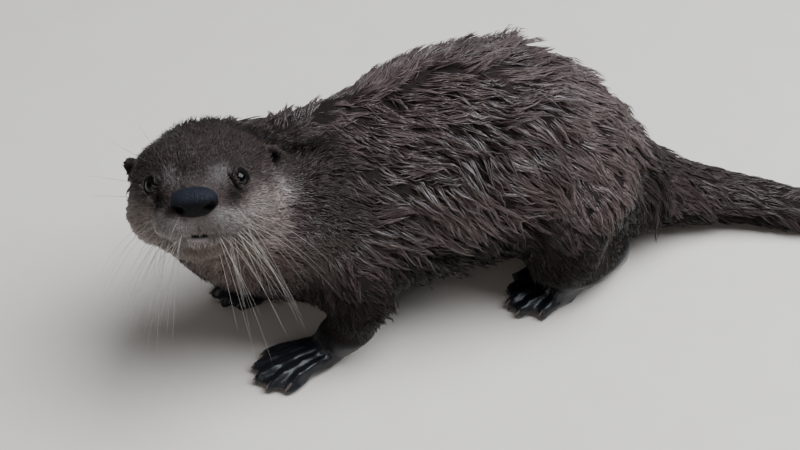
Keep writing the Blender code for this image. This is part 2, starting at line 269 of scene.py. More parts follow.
@dataclass
class Spikes:
    """Many closed tapering spikes that share one set of rings.

    Fields:
        path: the middle of each ring and the tip, as (spike, ring, xyz) in millimetres.
        radius: each ring's radius, as (spike, ring), without the tip.
        up: the way each spike's flatter side faces.
        sides: how many sides a spike has.
        flat: how thick a spike is, as a share of its width.
    """

    path: Array
    radius: Array
    up: Array
    sides: int = 3
    flat: float = 0.8

    def part(self, chosen: Array) -> "Spikes":
        """The chosen spikes only."""
        return Spikes(self.path[chosen], self.radius[chosen], self.up[chosen], self.sides,
                      self.flat)

    @property
    def rings(self) -> int:
        """How many rings a spike has below its tip."""
        return self.path.shape[1] - 1

    def points(self) -> Array:
        """Ring points at path + r (cos a side - flat sin a rise), then the tip, per spike.

        Returns:
            Places as (spike, point, xyz), in millimetres.
        """
        ahead = unit(np.gradient(self.path, axis=1))
        side = unit(np.cross(ahead, self.up[:, None]))
        rise = np.cross(side, ahead)
        turn = np.arange(self.sides) * 2 * math.pi / self.sides
        across = side[:, :-1, None] * np.cos(turn)[None, None, :, None]
        over = -rise[:, :-1, None] * np.sin(turn)[None, None, :, None] * self.flat
        ring = self.path[:, :-1, None] + (across + over) * self.radius[:, :, None, None]
        return np.concatenate([ring.reshape(len(self.path), -1, 3), self.path[:, -1:]], 1)

    def faces(self) -> tuple[Array, Array]:
        """Every spike's faces.

        Returns:
            Their point numbers in a row, and each face's size.
        """
        loops, sizes, _ = tube_faces(self.rings, self.sides)
        step = np.arange(len(self.path))[:, None] * (self.rings * self.sides + 1)
        return (loops[None] + step).ravel(), np.tile(sizes, len(self.path))

    def along(self) -> Array:
        """How far along its spike each point lies, from 0 at the root to 1 at the tip."""
        one = np.append(np.repeat(np.arange(self.rings) / self.rings, self.sides), 1.0)
        return np.tile(one, (len(self.path), 1))

    def patch(self, roots: Array) -> Array:
        """Each face corner's place on the map: a small patch at its root's place."""
        local = tube_faces(self.rings, self.sides)[2] * PATCH
        return (np.clip(roots, 0.0, 1 - PATCH)[:, None] + local[None]).reshape(-1, 2)

    def lay(self, chance: Array) -> Array:
        """Each face corner's place round and along its spike, in millimetres.

        Args:
            chance: a number from 0 to 1 for each spike, which shifts its places.

        Returns:
            One row for each face corner.
        """
        chart = tube_faces(self.rings, self.sides)[2]
        girth = 5.0 * self.radius.max(1)
        length = np.linalg.norm(np.diff(self.path, axis=1), axis=2).sum(1)
        size = np.stack([girth, length], -1)[:, None]
        shift = (chance[:, None] * (91.0, 37.0))[:, None]
        return (chart[None] * size + shift).reshape(-1, 2)


# ---------------- the head's own axes
@dataclass
class HeadAxes:
    """The head's frame, found from its eyes: x to its right, y out of its nose, z up."""

    yaw: float = math.radians(65)
    pitch: float = math.radians(31)
    eye_forward: float = 21.0
    eye_up: float = 7.0
    origin: Array = field(default_factory=lambda: np.zeros(3))
    axes: Array = field(default_factory=lambda: np.eye(3))

    def __post_init__(self) -> None:
        """Sets the axes and the origin from the eyes' boxes."""
        left, right = (centre_of(f"eye_{side}") for side in ("left", "right"))
        across = unit(right - left)
        nose = np.array([math.sin(self.yaw) * math.cos(self.pitch),
                         -math.cos(self.yaw) * math.cos(self.pitch), math.sin(self.pitch)])
        forward = unit(nose - across * (nose @ across))
        upward = np.cross(across, forward)
        self.axes = np.stack([across, forward, upward])
        self.origin = (left + right) / 2 - forward * self.eye_forward - upward * self.eye_up

    def inside(self, points: Array) -> Array:
        """Points of the animal, in the head's frame."""
        return (points - self.origin) @ self.axes.T

    def outside(self, points: Array) -> Array:
        """Points of the head's frame, in the animal's."""
        return points @ self.axes + self.origin

    def turned(self, ways: Array) -> Array:
        """Directions of the head's frame, in the animal's."""
        return ways @ self.axes


def centre_of(name: str) -> Array:
    """The middle of a solid's box, in millimetres."""
    low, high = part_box(name)
    return (np.array(low) + np.array(high)) / 2 / MM


# ---------------- the face's measures
@dataclass(frozen=True)
class FaceMeasures:
    """Where the face's features sit in the head's frame, in millimetres."""

    eye: tuple = (21.3, 21.0, 7.0)
    eye_radius: float = 5.6
    gaze: tuple = (0.55, 0.78, 0.22)
    aperture: float = math.radians(43)
    almond: tuple = (0.98, 1.02)
    ear: tuple = (38.5, -17.0, 11.0)
    slit: float = 3.2
    nose: tuple = (0.0, 43.0, 0.0)
    nose_half: tuple = (12.9, 7.0, 7.7)
    mouth_height: float = -19.4
    mouth_half_width: float = 25.0
    muzzle: tuple = (0.0, 46.0, -3.0)

    def eye_at(self, side: int) -> Array:
        """An eyeball's centre; side is -1 for the left and 1 for the right."""
        return np.array(self.eye) * (side, 1, 1)

    def ear_distance(self, head: Array) -> Array:
        """How far places in the head's frame are from the middle of the nearer ear."""
        return np.linalg.norm(np.stack(folded(head), -1) - self.ear, axis=1)

    def muzzle_distance(self, head: Array) -> Array:
        """How far places in the head's frame are from the middle of the muzzle."""
        return np.linalg.norm(head - self.muzzle, axis=1)

    def mouth_at(self, x: Array) -> Array:
        """The mouth's height beside the middle: a droop with x squared and a low bell."""
        return self.mouth_height - 0.004 * x**2 + 1.2 * hump(x, 9.0, 5.0)

    def gaze_of(self, side: int) -> Array:
        """The way an eye looks."""
        return unit(np.array(self.gaze) * (side, 1.0, 1.0))

    def across_gaze(self, side: int) -> tuple[Array, Array]:
        """The level and the steep direction at right angles to an eye's gaze."""
        level = unit(np.cross(self.gaze_of(side), (0.0, 0.0, 1.0)))
        return level, np.cross(level, self.gaze_of(side))

    def off_gaze(self, ways: Array, side: int) -> Array:
        """How far directions turn from the gaze: the root of the level and steep angles squared.

        Args:
            ways: unit directions from the eyeball's centre, in the head's frame.
            side: -1 for the left and 1 for the right.

        Returns:
            Angles, each part of which is over its share of the opening's width.
        """
        level, steep = self.across_gaze(side)
        ahead = ways @ self.gaze_of(side)
        first = np.arctan2(ways @ level, ahead) / self.almond[0]
        second = np.arctan2(ways @ steep, ahead) / self.almond[1]
        return np.where(ahead > 0, np.hypot(first, second), np.arccos(np.clip(ahead, -1, 1)))


FACE = FaceMeasures()


def face_marks(head: Array) -> Array:
    """How pale, silver, tan and dark the coat is at places in the head's frame.

    Each mark is a product of eased steps and humps in x, y and z: silver over the upper lip
    and above the inner corners of the eyes, tan on the cheeks and chin, dark in a band from
    each eye down beside the muzzle, and pale in a streak under the ear.

    Args:
        head: places in the head's frame.

    Returns:
        Columns of pale, silver, tan and dark, each 0 to 1.
    """
    x, y, z = folded(head)
    wander = 1.6 * ripple(head, 11.0, 71)
    lip = ease(z + wander, -3.0, -9.0) * ease(z, -25.0, -18.5) * ease(y, 0.0, 14.0)
    lip = lip * ease(x + wander, 34.0, 20.0)
    brow = hump(x, 12.0, 4.0) * hump(z, 10.5 + 0.2 * wander, 4.2) * ease(y, 12.0, 22.0)
    bridge = ease(x, 15.0, 7.0) * hump(z, 7.0, 5.0) * ease(y, 24.0, 34.0) * 0.1
    cheek = ease(z + wander, 6.0, -7.0) * ease(x, 17.0, 26.0) * ease(y + wander, -30.0, -14.0)
    cheek = cheek * ease(z, -44.0, -28.0)
    cheek = cheek * ease(FACE.muzzle_distance(head) + 2.0 * wander, 70.0, 54.0)
    cap = ease(z, 4.0, 14.0) * 0.45
    chin = ease(z, -18.5, -21.5) * ease(y, -12.0, 8.0) * ease(x, 34.0, 20.0)
    band = hump(z - 0.45 * (y - 24.0), -3.5 + 0.3 * wander, 6.5) * hump(x, 19.0, 5.0)
    band = band * ease(y, 14.0, 22.0)
    streak = hump(x, 37.0, 8.0) * hump(y, -7.0, 6.0) * hump(z, -2.0, 11.0)
    under = ease(z, -24.0, -34.0) * ease(y, -30.0, -6.0) * 0.3
    socket = hump(x, 22.0, 6.5) * hump(z, 8.0, 6.0) * ease(y, 14.0, 20.0) * 0.4
    ear = hump(x, 37.0, 4.5) * hump(y, -11.0, 7.0) * hump(z, 9.5, 5.4)
    rim = hump(FACE.ear_distance(head), 9.5, 2.2) * ease(z, 8.0, 14.0) * 0.5
    line = hump(z, FACE.mouth_height - 2.4, 1.3) * ease(x, 7.0, 4.0) * ease(y, 16.0, 24.0)
    silver = np.clip(0.8 * lip + 0.62 * brow + bridge, 0, 1)
    tan = np.clip(cheek + 0.65 * chin + under + rim, 0, 1)
    dark = np.clip(band * (1 - 0.7 * lip) + (socket + cap) * (1 - brow) * (1 - rim) + ear, 0, 1)
    pale = np.clip(0.9 * streak + 0.6 * cheek * ease(x, 20.0, 32.0) + line + 0.45 * lip, 0, 1)
    return np.stack([pale * (1 - ear), silver, tan * (1 - ear), dark], -1)


def body_dark_and_shade(points: Array, shares: Array, normals: Array) -> Array:
    """How dark the coat is off the head: darker fur on the wrists, shins, feet and tail, dark fur
    and painted shade low on the thighs, and painted shade underneath and low on the flanks.

    Args:
        points: places on the skin.
        shares: their shares in the regions.
        normals: the skin's normals there.

    Returns:
        A mask, 0 to 1.
    """
    height = points[:, 2]
    share = dict(zip(REGIONS, shares.T))
    # dark wet fur and painted shade, low on the thighs
    thigh = share[Region.THIGH] * ease(height, 90.0, 54.0)
    # painted shade: darker where the skin faces down, under the body
    belly = ease(normals[:, 2], 0.20, -0.45) * ease(height, 100.0, 74.0) * (1 - share[Region.HEAD])
    # painted shade: the trunk darkens lower down its sides
    flank = 0.75 * share[Region.TRUNK] * ease(height, 104.0, 66.0)
    tail = 0.42 * share[Region.TAIL]
    shank = ease(share[Region.SHANK] + share[Region.FOOT], 0.1, 0.6)
    return np.clip(shank + 0.95 * thigh + 0.95 * belly + flank + tail, 0, 1)


# ---------------- the skin
@dataclass
class Skin:
    """One skin over all the flesh, sunk below the solids by the depth of the coat.

    Fields:
        voxel: the mesh size of the fused skin.
        grow: how far each solid is swollen first, so that the thin cuts close.
        depths: how deep the coat is over each region, in the order of Region.
        fold: the middle of the hollow between the haunch and the tail's root.
        lowest: the least height of a point over the floor.
    """

    axes: HeadAxes
    voxel: float = 2.06
    grow: float = 0.4
    depths: tuple = (1.5, 0.3, 2.6, 4.4, 2.7, 3.3, 1.4, 0.1)
    fold: tuple = (27.0, 25.0, 77.0)
    lowest: float = 0.05
    points: Array = field(default_factory=lambda: np.zeros((0, 3)))
    edges: Array = field(default_factory=lambda: np.zeros((0, 2), int))
    shares: Array = field(default_factory=lambda: np.zeros((0, 8)))
    way: Array = field(default_factory=lambda: np.zeros((0, 3)))
    marks: Array = field(default_factory=lambda: np.zeros((0, 4)))
    mesh: bpy.types.Mesh | None = None

    @staticmethod
    def solids() -> list[str]:
        """The solids whose shapes are fused: all but the claws."""
        return [name for name in sorted(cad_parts) if not name.startswith("claw")]

    def fused(self) -> bpy.types.Mesh:
        """The solids, each swollen a little along its normals, joined and voxel remeshed.

        Returns:
            A mesh that no object uses yet.
        """
        points, loops, start = [], [], 0
        for name in self.solids():
            here, faces = arrays_of(name)
            corner = here[faces]
            flat = np.cross(corner[:, 1] - corner[:, 0], corner[:, 2] - corner[:, 0])
            normal = np.stack([np.bincount(faces.ravel(), np.repeat(flat[:, k], 3), len(here))
                               for k in range(3)], -1)
            points.append(here + unit(normal) * self.grow)
            loops.append(faces + start)
            start += len(here)
        loops = np.concatenate(loops)
        mesh = make_mesh("fused", np.concatenate(points), loops.ravel(), np.full(len(loops), 3))
        carrier = bpy.data.objects.new("fused", mesh)
        bpy.context.scene.collection.objects.link(carrier)
        remesh = carrier.modifiers.new("fuse", "REMESH")
        remesh.mode = "VOXEL"
        remesh.voxel_size = self.voxel * MM
        graph = bpy.context.evaluated_depsgraph_get()
        made = bpy.data.meshes.new_from_object(carrier.evaluated_get(graph))
        bpy.data.objects.remove(carrier)
        return made

    def refined(self, mesh: bpy.types.Mesh) -> bpy.types.Mesh:
        """The mesh split finer on the muzzle and feet, and again round the eyes and mouth.

        Args:
            mesh: the fused skin.

        Returns:
            A new mesh.
        """
        bm = bmesh.new()
        bm.from_mesh(mesh)
        for tight in (False, True):
            middles = np.array([face.calc_center_median() for face in bm.faces]) / MM
            x, y, z = folded(self.axes.inside(middles))
            chosen = (y > 6) & (np.abs(z) < 34) & (x < 34)
            if not tight:
                chosen |= (middles[:, 2] < 19) & (middles[:, 1] < 40)
            else:
                eye = np.linalg.norm(np.stack([x, y, z], -1) - FACE.eye, axis=1) < 10.5
                mouth = (np.abs(z - FACE.mouth_height) < 5) & (y > 18) & (x < 24)
                chosen &= eye | mouth
            edges = {edge for face, pick in zip(bm.faces, chosen) if pick for edge in face.edges}
            bmesh.ops.subdivide_edges(bm, edges=list(edges), cuts=1, use_grid_fill=True)
        made = bpy.data.meshes.new("skin")
        bm.to_mesh(made)
        bm.free()
        return made

    def read(self) -> None:
        """Reads the mesh's points and edges."""
        count = len(self.mesh.vertices)
        points = np.empty(count * 3, np.float32)
        self.mesh.vertices.foreach_get("co", points)
        self.points = points.reshape(-1, 3).astype(float) / MM
        edges = np.empty(len(self.mesh.edges) * 2, np.int32)
        self.mesh.edges.foreach_get("vertices", edges)
        self.edges = edges.reshape(-1, 2)

    def write(self) -> None:
        """Writes the points back to the mesh."""
        self.points[:, 2] = np.maximum(self.points[:, 2], self.lowest)
        self.mesh.vertices.foreach_set("co", (self.points * MM).astype(np.float32).ravel())
        self.mesh.update()

    def relaxed(self, values: Array, rounds: int, share: Array | float = 0.5) -> Array:
        """Values averaged with their neighbours' a number of times.

        Args:
            values: one row for each point.
            rounds: how often.
            share: how much of the neighbours' mean is taken each time, for each point or all.

        Returns:
            The smoothed rows.
        """
        a, b, count = self.edges[:, 0], self.edges[:, 1], len(self.points)
        degree = np.maximum(np.bincount(self.edges.ravel(), minlength=count), 1)
        for _ in range(rounds):
            mean = np.stack([np.bincount(a, column[b], count) + np.bincount(b, column[a], count)
                             for column in values.T], -1) / degree[:, None]
            values = values + (mean - values) * share
        return values

    def normals(self) -> Array:
        """The mesh's normals at its points."""
        found = np.empty(len(self.mesh.vertices) * 3, np.float32)
        self.mesh.vertex_normals.foreach_get("vector", found)
        return found.reshape(-1, 3).astype(float)

    def keep_outer(self) -> None:
        """Drops every shell but the largest: each point takes its neighbours' lowest number."""
        label = np.arange(len(self.points))
        while True:
            low = label.copy()
            near = np.minimum(label[self.edges[:, 0]], label[self.edges[:, 1]])
            np.minimum.at(low, self.edges[:, 0], near)
            np.minimum.at(low, self.edges[:, 1], near)
            low = low[low]
            if (low == label).all():
                break
            label = low
        main = np.bincount(label).argmax()
        if (label == main).all():
            return
        bm = bmesh.new()
        bm.from_mesh(self.mesh)
        bm.verts.ensure_lookup_table()
        stray = [bm.verts[i] for i in np.flatnonzero(label != main)]
        bmesh.ops.delete(bm, geom=stray, context="VERTS")
        bm.to_mesh(self.mesh)
        bm.free()
        self.read()

    def find_regions(self) -> None:
        """Finds each point's share in every region from its nearest solid, then smooths it."""
        middles, owners = [], []
        for name in self.solids():
            here, faces = arrays_of(name)
            middles.append(here[faces].mean(1))
            owner = next(i for i, r in enumerate(REGIONS) if name.startswith(r.value))
            owners.append(np.full(len(faces), owner))
        middles, owners = np.concatenate(middles).astype(np.float32), np.concatenate(owners)
        nearest = np.empty(len(self.points), int)
        size, batch = (middles**2).sum(1), 4000
        for start in range(0, len(self.points), batch):
            some = self.points[start:start + batch].astype(np.float32)
            nearest[start:start + batch] = (size - 2 * some @ middles.T).argmin(1)
        sharp = np.eye(len(REGIONS))[owners[nearest]]
        crisp, self.shares = self.relaxed(sharp, 4), self.relaxed(sharp, 26)
        ear, foot = REGIONS.index(Region.EAR), REGIONS.index(Region.FOOT)
        shank = REGIONS.index(Region.SHANK)
        low = ease(self.points[:, 2], 28.0, 19.0)
        wet = self.shares[:, shank] * low
        crisp[:, foot] += crisp[:, shank] * low
        self.shares[:, foot] += wet
        self.shares[:, shank] -= wet
        for part in (ear, foot):
            others = 1 - self.shares[:, part]
            self.shares *= ((1 - crisp[:, part]) / np.maximum(others, 1e-6))[:, None]
            self.shares[:, part] = crisp[:, part]

    def share(self, region: Region) -> Array:
        """Each point's share in a region."""
        return self.shares[:, REGIONS.index(region)]

    def find_lie(self) -> None:
        """Finds which way the coat lies at each point.

        On the trunk, neck and tail it follows the spine, taken from the middles of the solids
        and weighted by nearness, and falls a little down the flanks. On the legs it runs down.
        On the head it runs away from the nose. The sum is laid on the skin and smoothed.
        """
        names = ("neck", "chest", "loin", "rump", "tail_root", "tail_middle", "tail_end")
        line = np.array([self.axes.origin] + [centre_of(name) for name in names])
        tip = np.array([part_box("tail_end")[1].x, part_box("tail_end")[1].y, 0.005]) / MM
        line = np.vstack([line, tip])
        middle, step = (line[1:] + line[:-1]) / 2, unit(np.diff(line, axis=0))
        far = np.linalg.norm(self.points[:, None] - middle[None], axis=2)
        weight = np.exp(-((far / 45) ** 2)) + 1e-12
        spine = unit(weight @ step)
        down = np.array([0.0, 0.0, -1.0])
        head = self.axes.inside(self.points)
        away = self.axes.turned(unit(head - (0.0, 48.0, -4.0)))
        ways = {
            Region.HEAD: away + 0.15 * down, Region.EAR: away,
            Region.NECK: spine + 0.9 * down + 0.3 * away, Region.TRUNK: spine + 1.1 * down,
            Region.TAIL: spine + 0.3 * down, Region.THIGH: 0.6 * spine + 0.9 * down,
            Region.SHANK: 0.2 * spine + down, Region.FOOT: down - (0, 1.5, 0),
        }
        normal = self.normals()
        total = sum(self.share(region)[:, None] * way for region, way in ways.items())
        for _ in range(4):
            total = self.relaxed(unit(along_skin(total, normal)), 6)
        self.way = unit(along_skin(total, normal))

    def sink(self) -> None:
        """Moves the skin in by the depth of the coat over it, and evens it out."""
        head = self.axes.inside(self.points)
        depth = self.shares @ np.array(self.depths)
        back = self.share(Region.HEAD) * ease(head[:, 1], 26.0, -22.0)
        crown = self.share(Region.HEAD) * ease(head[:, 2], 16.0, 30.0)
        crown = crown * ease(head[:, 1], 26.0, 8.0)
        depth = self.relaxed((depth + 0.5 * back + 2.4 * crown)[:, None], 8)[:, 0]
        off_fold = np.linalg.norm(np.stack(folded(self.points), -1) - self.fold, axis=1)
        depth = depth + 5.0 * hump(off_fold, 0.0, 11.0)
        self.points -= self.normals() * depth[:, None]
        self.points = self.relaxed(self.points, 3, self.softness())
        self.write()

    def softness(self) -> Array:
        """How much each point gives way when the skin is evened out: little on ears and feet."""
        firm = 0.9 * self.share(Region.EAR) + 0.7 * self.share(Region.FOOT)
        return (0.5 * (1 - np.clip(firm, 0, 1)))[:, None]

    def model_feet(self) -> None:
        """Raises the toes and knuckles on top of each foot and lowers the webs between them.

        Round a point behind the foot, a toe lies at its claw's angle: the rise is a bell over
        the angle, with two more bells along the toe for its knuckles, and eases out towards
        the wrist.
        """
        normal = self.normals()
        for foot in ("forefoot_left", "forefoot_right", "hindfoot_left", "hindfoot_right"):
            claws = np.array([centre_of(f"claw_{foot}_{k}") for k in range(1, 6)])[:, :2]
            middle = centre_of(foot)[:2]
            behind = middle - (claws.mean(0) - middle) * 1.15
            spoke = claws - behind
            angle = np.arctan2(spoke[:, 1], spoke[:, 0])
            off = self.points[:, :2] - behind
            turn = np.arctan2(off[:, 1], off[:, 0])[:, None] - angle[None]
            turn = np.abs((turn + math.pi) % (2 * math.pi) - math.pi)
            toe = turn.argmin(1)
            gap = np.abs(np.diff(np.sort(angle % (2 * math.pi)))).mean()
            share = np.linalg.norm(off, axis=1) / np.linalg.norm(spoke, axis=1)[toe]
            ridge = hump(turn.min(1), 0.0, gap * 0.30)
            knuckle = 0.75 + 0.55 * hump(share, 0.83, 0.06) + 0.45 * hump(share, 0.60, 0.07)
            rise = 1.15 * ridge * knuckle - 0.55
            on = np.linalg.norm(self.points[:, :2] - middle, axis=1) < 62
            on = on * ease(self.points[:, 2], 30.0, 22.0) * ease(share, 0.30, 0.55)
            on = on * ease(share, 1.02, 0.94) * ease(normal[:, 2], 0.0, 0.5)
            on = on * ease(self.share(Region.FOOT), 0.4, 0.9)
            self.points += normal * (rise * on)[:, None]
        self.write()

    def model_face(self) -> None:
        """Shapes the muzzle, lips and eyelids in the head's frame.

        A split runs under the nose and the lips part along a line that droops and fades
        outwards; each is a narrow bell cut into the skin. Round an eye, points outside the
        opening are pushed out to a shell over the eyeball, and those inside it fall behind.
        """
        x, y, z = folded(self.axes.inside(self.points))
        near = self.share(Region.HEAD)
        mouth = FACE.mouth_at(x)
        front = ease(y, 12.0, 24.0) * near
        lips = 1.5 * hump(z, mouth, 0.8) * (0.35 + 0.65 * ease(x, FACE.slit + 2, FACE.slit - 1))
        lips = lips * ease(x, FACE.mouth_half_width, 14.0) * front
        split = 0.6 * hump(x, 0.0, 0.9) * ease(z, -8.0, -10.0) * ease(z, -18.5, -16.0) * front
        nape = 7.0 * hump(y, -50.0, 13.0) * ease(z, 4.0, 18.0)
        pads = nape + 1.9 * hump(x, 14.0, 8.5) * hump(z, -11.0, 6.5) * ease(y, 4.0, 18.0) * near
        lower = 0.9 * hump(z, mouth - 2.6, 1.7) * ease(x, 11.0, 5.0) * front
        self.points += self.normals() * (pads + lower - lips - split)[:, None]
        head = self.axes.inside(self.points)
        bed = np.linalg.norm((head - FACE.nose) / np.array(FACE.nose_half), axis=1)
        head[:, 1] -= 7.0 * ease(bed, 1.02, 0.80) * near
        for side in (-1, 1):
            self.cup_ear(head, side)
            ball = FACE.eye_at(side)
            off = head - ball
            far = np.linalg.norm(off, axis=1)
            angle = FACE.off_gaze(off / far[:, None], side)
            lid = FACE.eye_radius + 0.8 * ease(angle, FACE.aperture, FACE.aperture + 0.16)
            shut = far + np.maximum(lid - far, 0) * ease(angle, 1.9, 1.35)
            level = FACE.eye_radius + 1.2 + 5.0 * ease(angle, FACE.aperture, 1.75)
            shut = np.where(angle < 1.75, np.minimum(shut, np.maximum(level, lid)), shut)
            sunk = np.minimum(far, FACE.eye_radius - 1.6)
            inner = ease(angle, FACE.aperture + 0.05, FACE.aperture - 0.14)
            close = (far < 11.0) * near
            goal = shut * (1 - inner) + sunk * inner
            head = ball + off / far[:, None] * (far + (goal - far) * close)[:, None]
        near = near + self.share(Region.EAR)
        self.points = np.where(near[:, None] > 0.02, self.axes.outside(head), self.points)
        self.write()

    def cup_ear(self, head: Array, side: int) -> None:
        """Sets an ear a little in and down, and hollows its front by an oval bell.

        Args:
            head: the skin's points in the head's frame, changed in place.
            side: -1 for the left and 1 for the right.
        """
        ahead = unit(np.array([side * 0.35, 0.94, 0.0]))
        off = head - np.array(FACE.ear) * (side, 1, 1)
        out = off @ ahead
        reach = np.linalg.norm((off - out[:, None] * ahead) * (1.0, 1.0, 0.62), axis=1)
        own = ease(self.share(Region.EAR), 0.2, 0.7)
        own = own * ease(np.linalg.norm(off, axis=1), 16.0, 12.0)
        cup = 4.0 * hump(reach, 0.0, 3.0) * ease(out, 0.0, 3.0)
        head -= ahead * (cup * own)[:, None] + np.array([side * 2.0, 0.0, 0.8]) * own[:, None]

    def unwrap(self, piece: bpy.types.Object) -> None:
        """Unwraps the skin on its own shape, into the map that the coat's tufts share.

        Args:
            piece: the skin's object.
        """
        self.mesh.uv_layers.new(name="OFBake")
        bpy.context.view_layer.objects.active = piece
        piece.select_set(True)
        bpy.ops.object.mode_set(mode="EDIT")
        bpy.ops.mesh.select_all(action="SELECT")
        bpy.ops.uv.smart_project(angle_limit=math.radians(66), island_margin=0.002)
        bpy.ops.object.mode_set(mode="OBJECT")
        piece.select_set(False)

    def mark(self) -> None:
        """Stores the coat's marks at every point, and how bare, dark and glossy the skin is."""
        head = self.axes.inside(self.points)
        near = ease(self.share(Region.HEAD) + self.share(Region.EAR), 0.02, 0.4)
        self.marks = face_marks(head) * near[:, None]
        # the dark mark takes the body's darker fur and its painted shade
        self.marks[:, 3] += body_dark_and_shade(self.points, self.shares, self.normals())
        self.marks[:, 3] += 0.6 * hump(FACE.muzzle_distance(head), 92.0, 17.0)
        self.marks = np.clip(self.marks, 0, 1)
        paint(self.mesh, "marks", self.marks)
        bare = ease(self.share(Region.FOOT), 0.25, 0.75)
        x, y, z = folded(head)
        lips = hump(z, FACE.mouth_at(x), 0.9) * ease(x, FACE.slit + 2.0, FACE.slit)
        lips = lips * ease(y, 14.0, 24.0)
        rims = sum(hump(np.linalg.norm(head - FACE.eye_at(s), axis=1), 6.0, 1.6) for s in (-1, 1))
        dark = np.clip(lips + rims, 0, 1) * self.share(Region.HEAD)
        gloss = bare * ease(self.points[:, 2], 24.0, 13.0)
        paint(self.mesh, "cover", np.stack([bare, dark, near, gloss], -1))

    def build(self) -> bpy.types.Object:
        """Makes the whole skin.

        Returns:
            Its piece.
        """
        self.mesh = self.refined(self.fused())
        self.read()
        self.keep_outer()
        self.find_regions()
        self.points = self.relaxed(self.points, 5, self.softness())
        self.write()
        self.sink()
        self.model_feet()
        self.model_face()
        self.find_lie()
        self.mark()
        self.mesh.polygons.foreach_set("use_smooth", np.ones(len(self.mesh.polygons), bool))
        flesh = [name for name in self.solids() if not name.startswith(("eye", "nose"))]
        piece = add_piece("skin", self.mesh, HideFinish().material(), flesh)
        self.unwrap(piece)
        return piece


# ---------------- the coat
@dataclass
class Roots:
    """Places on the skin where hairs grow, with what each needs to know."""

    place: Array
    normal: Array
    way: Array
    shares: Array
    marks: Array
    chart: Array

    def pick(self, chosen: Array) -> "Roots":
        """The chosen roots only."""
        return Roots(self.place[chosen], self.normal[chosen], self.way[chosen],
                     self.shares[chosen], self.marks[chosen], self.chart[chosen])

    def share(self, region: Region) -> Array:
        """Each root's share in a region."""
        return self.shares[:, REGIONS.index(region)]


def cells_of(places: Array, size: Array | float) -> Array:
    """A number for the cell of a grid that each place falls in."""
    cell = np.floor(places / np.reshape(size, (-1, 1))).astype(np.int64)
    return (cell[:, 0] * 73856093) ^ (cell[:, 1] * 19349663) ^ (cell[:, 2] * 83492791)


@dataclass
class Follicles:
    """Scatters roots over the skin's triangles."""

    skin: Skin
    seed: int = 11

    def scatter(self, density: Callable[[Array, Array, Array], Array], wanted: int) -> Roots:
        """Random places, at most one in each cell of a grid that is finer where they are denser.

        A triangle gets places in proportion to its area times the density at its middle. A
        cell is 1.1 over the square root of the local number of roots per square millimetre.

        Args:
            density: how thick the roots stand, from (points, shares, normals).
            wanted: how many roots to keep.

        Returns:
            The roots.
        """
        rng = np.random.default_rng(self.seed)
        mesh = self.skin.mesh
        mesh.calc_loop_triangles()
        count = len(mesh.loop_triangles)
        corners, loops = np.empty(count * 3, np.int32), np.empty(count * 3, np.int32)
        mesh.loop_triangles.foreach_get("vertices", corners)
        mesh.loop_triangles.foreach_get("loops", loops)
        corners, loops = corners.reshape(-1, 3), loops.reshape(-1, 3)
        chart = np.empty(len(mesh.loops) * 2, np.float32)
        mesh.uv_layers["OFBake"].data.foreach_get("uv", chart)
        chart = chart.reshape(-1, 2)[loops]
        at = self.skin.points[corners]
        flat = np.cross(at[:, 1] - at[:, 0], at[:, 2] - at[:, 0])
        area = np.linalg.norm(flat, axis=1) / 2
        thick = density(at.mean(1), self.skin.shares[corners].mean(1), unit(flat))
        many = area * thick
        picked = rng.choice(count, wanted * 4, p=many / many.sum())
        u, v = rng.random((2, len(picked)))
        flip = u + v > 1
        u, v = np.where(flip, 1 - u, u), np.where(flip, 1 - v, v)
        mix = np.stack([1 - u - v, u, v], -1)[:, :, None]

        def blend(values: Array) -> Array:
            """Values at the picked places, from their triangles' corners."""
            return (values[corners[picked]] * mix).sum(1)

        place = blend(self.skin.points)
        size = 1.1 / np.sqrt(thick[picked] * wanted / many.sum())
        _, first = np.unique(cells_of(place, size), return_index=True)
        if len(first) > wanted:
            first = rng.choice(first, wanted, replace=False)
        return Roots(place, unit(blend(self.skin.normals())), unit(blend(self.skin.way)),
                     blend(self.skin.shares), blend(self.skin.marks),
                     (chart[picked] * mix).sum(1)).pick(np.sort(first))


@dataclass(frozen=True)
class Strand:
    """One kind of strand in a lock.

    Fields:
        many: how many of them a lock has.
        reach: their length, as a share of the lock's.
        draw: the share of the pull to the group's middle that they follow.
        rings: which steps along the lock they keep.
    """

    many: int
    reach: float
    draw: float
    rings: tuple


STRANDS = (Strand(3, 1.0, 0.6, (0, 1, 3, 4)), Strand(4, 0.68, 0.12, (0, 2, 4)))
STEPS = np.array([0.0, 0.25, 0.5, 0.76, 1.0])  # how far along a lock its rings and tip are
TAPER = np.array([1.0, 0.95, 0.8, 0.5])  # a strand's radius at those rings


@dataclass(frozen=True)
class LockSizes:
    """How locks differ over the body: one number for each region, in the order of Region.

    Fields:
        length: a lock's length, in millimetres.
        lift: how high its middle stands over the skin, in millimetres.
        spread: how wide it is at the root, in millimetres.
        curl: how far it sways to the side, as a share of its length.
        cell: how far apart the groups are whose tips come together, in millimetres.
        density: how thick the locks stand, against the other regions.
    """

    length: tuple = (9.0, 3.0, 15.0, 22.0, 15.0, 12.5, 5.0, 3.0)
    lift: tuple = (2.2, 0.6, 3.2, 4.2, 2.3, 1.6, 0.5, 0.2)
    spread: tuple = (1.4, 1.0, 1.9, 2.3, 1.9, 2.0, 1.4, 1.0)
    curl: tuple = (0.18, 0.0, 0.17, 0.14, 0.10, 0.11, 0.05, 0.0)
    cell: tuple = (5.5, 5.0, 9.0, 12.0, 8.5, 9.0, 6.0, 5.0)
    density: tuple = (2.2, 0.0, 1.7, 1.0, 1.5, 1.5, 2.8, 0.6)


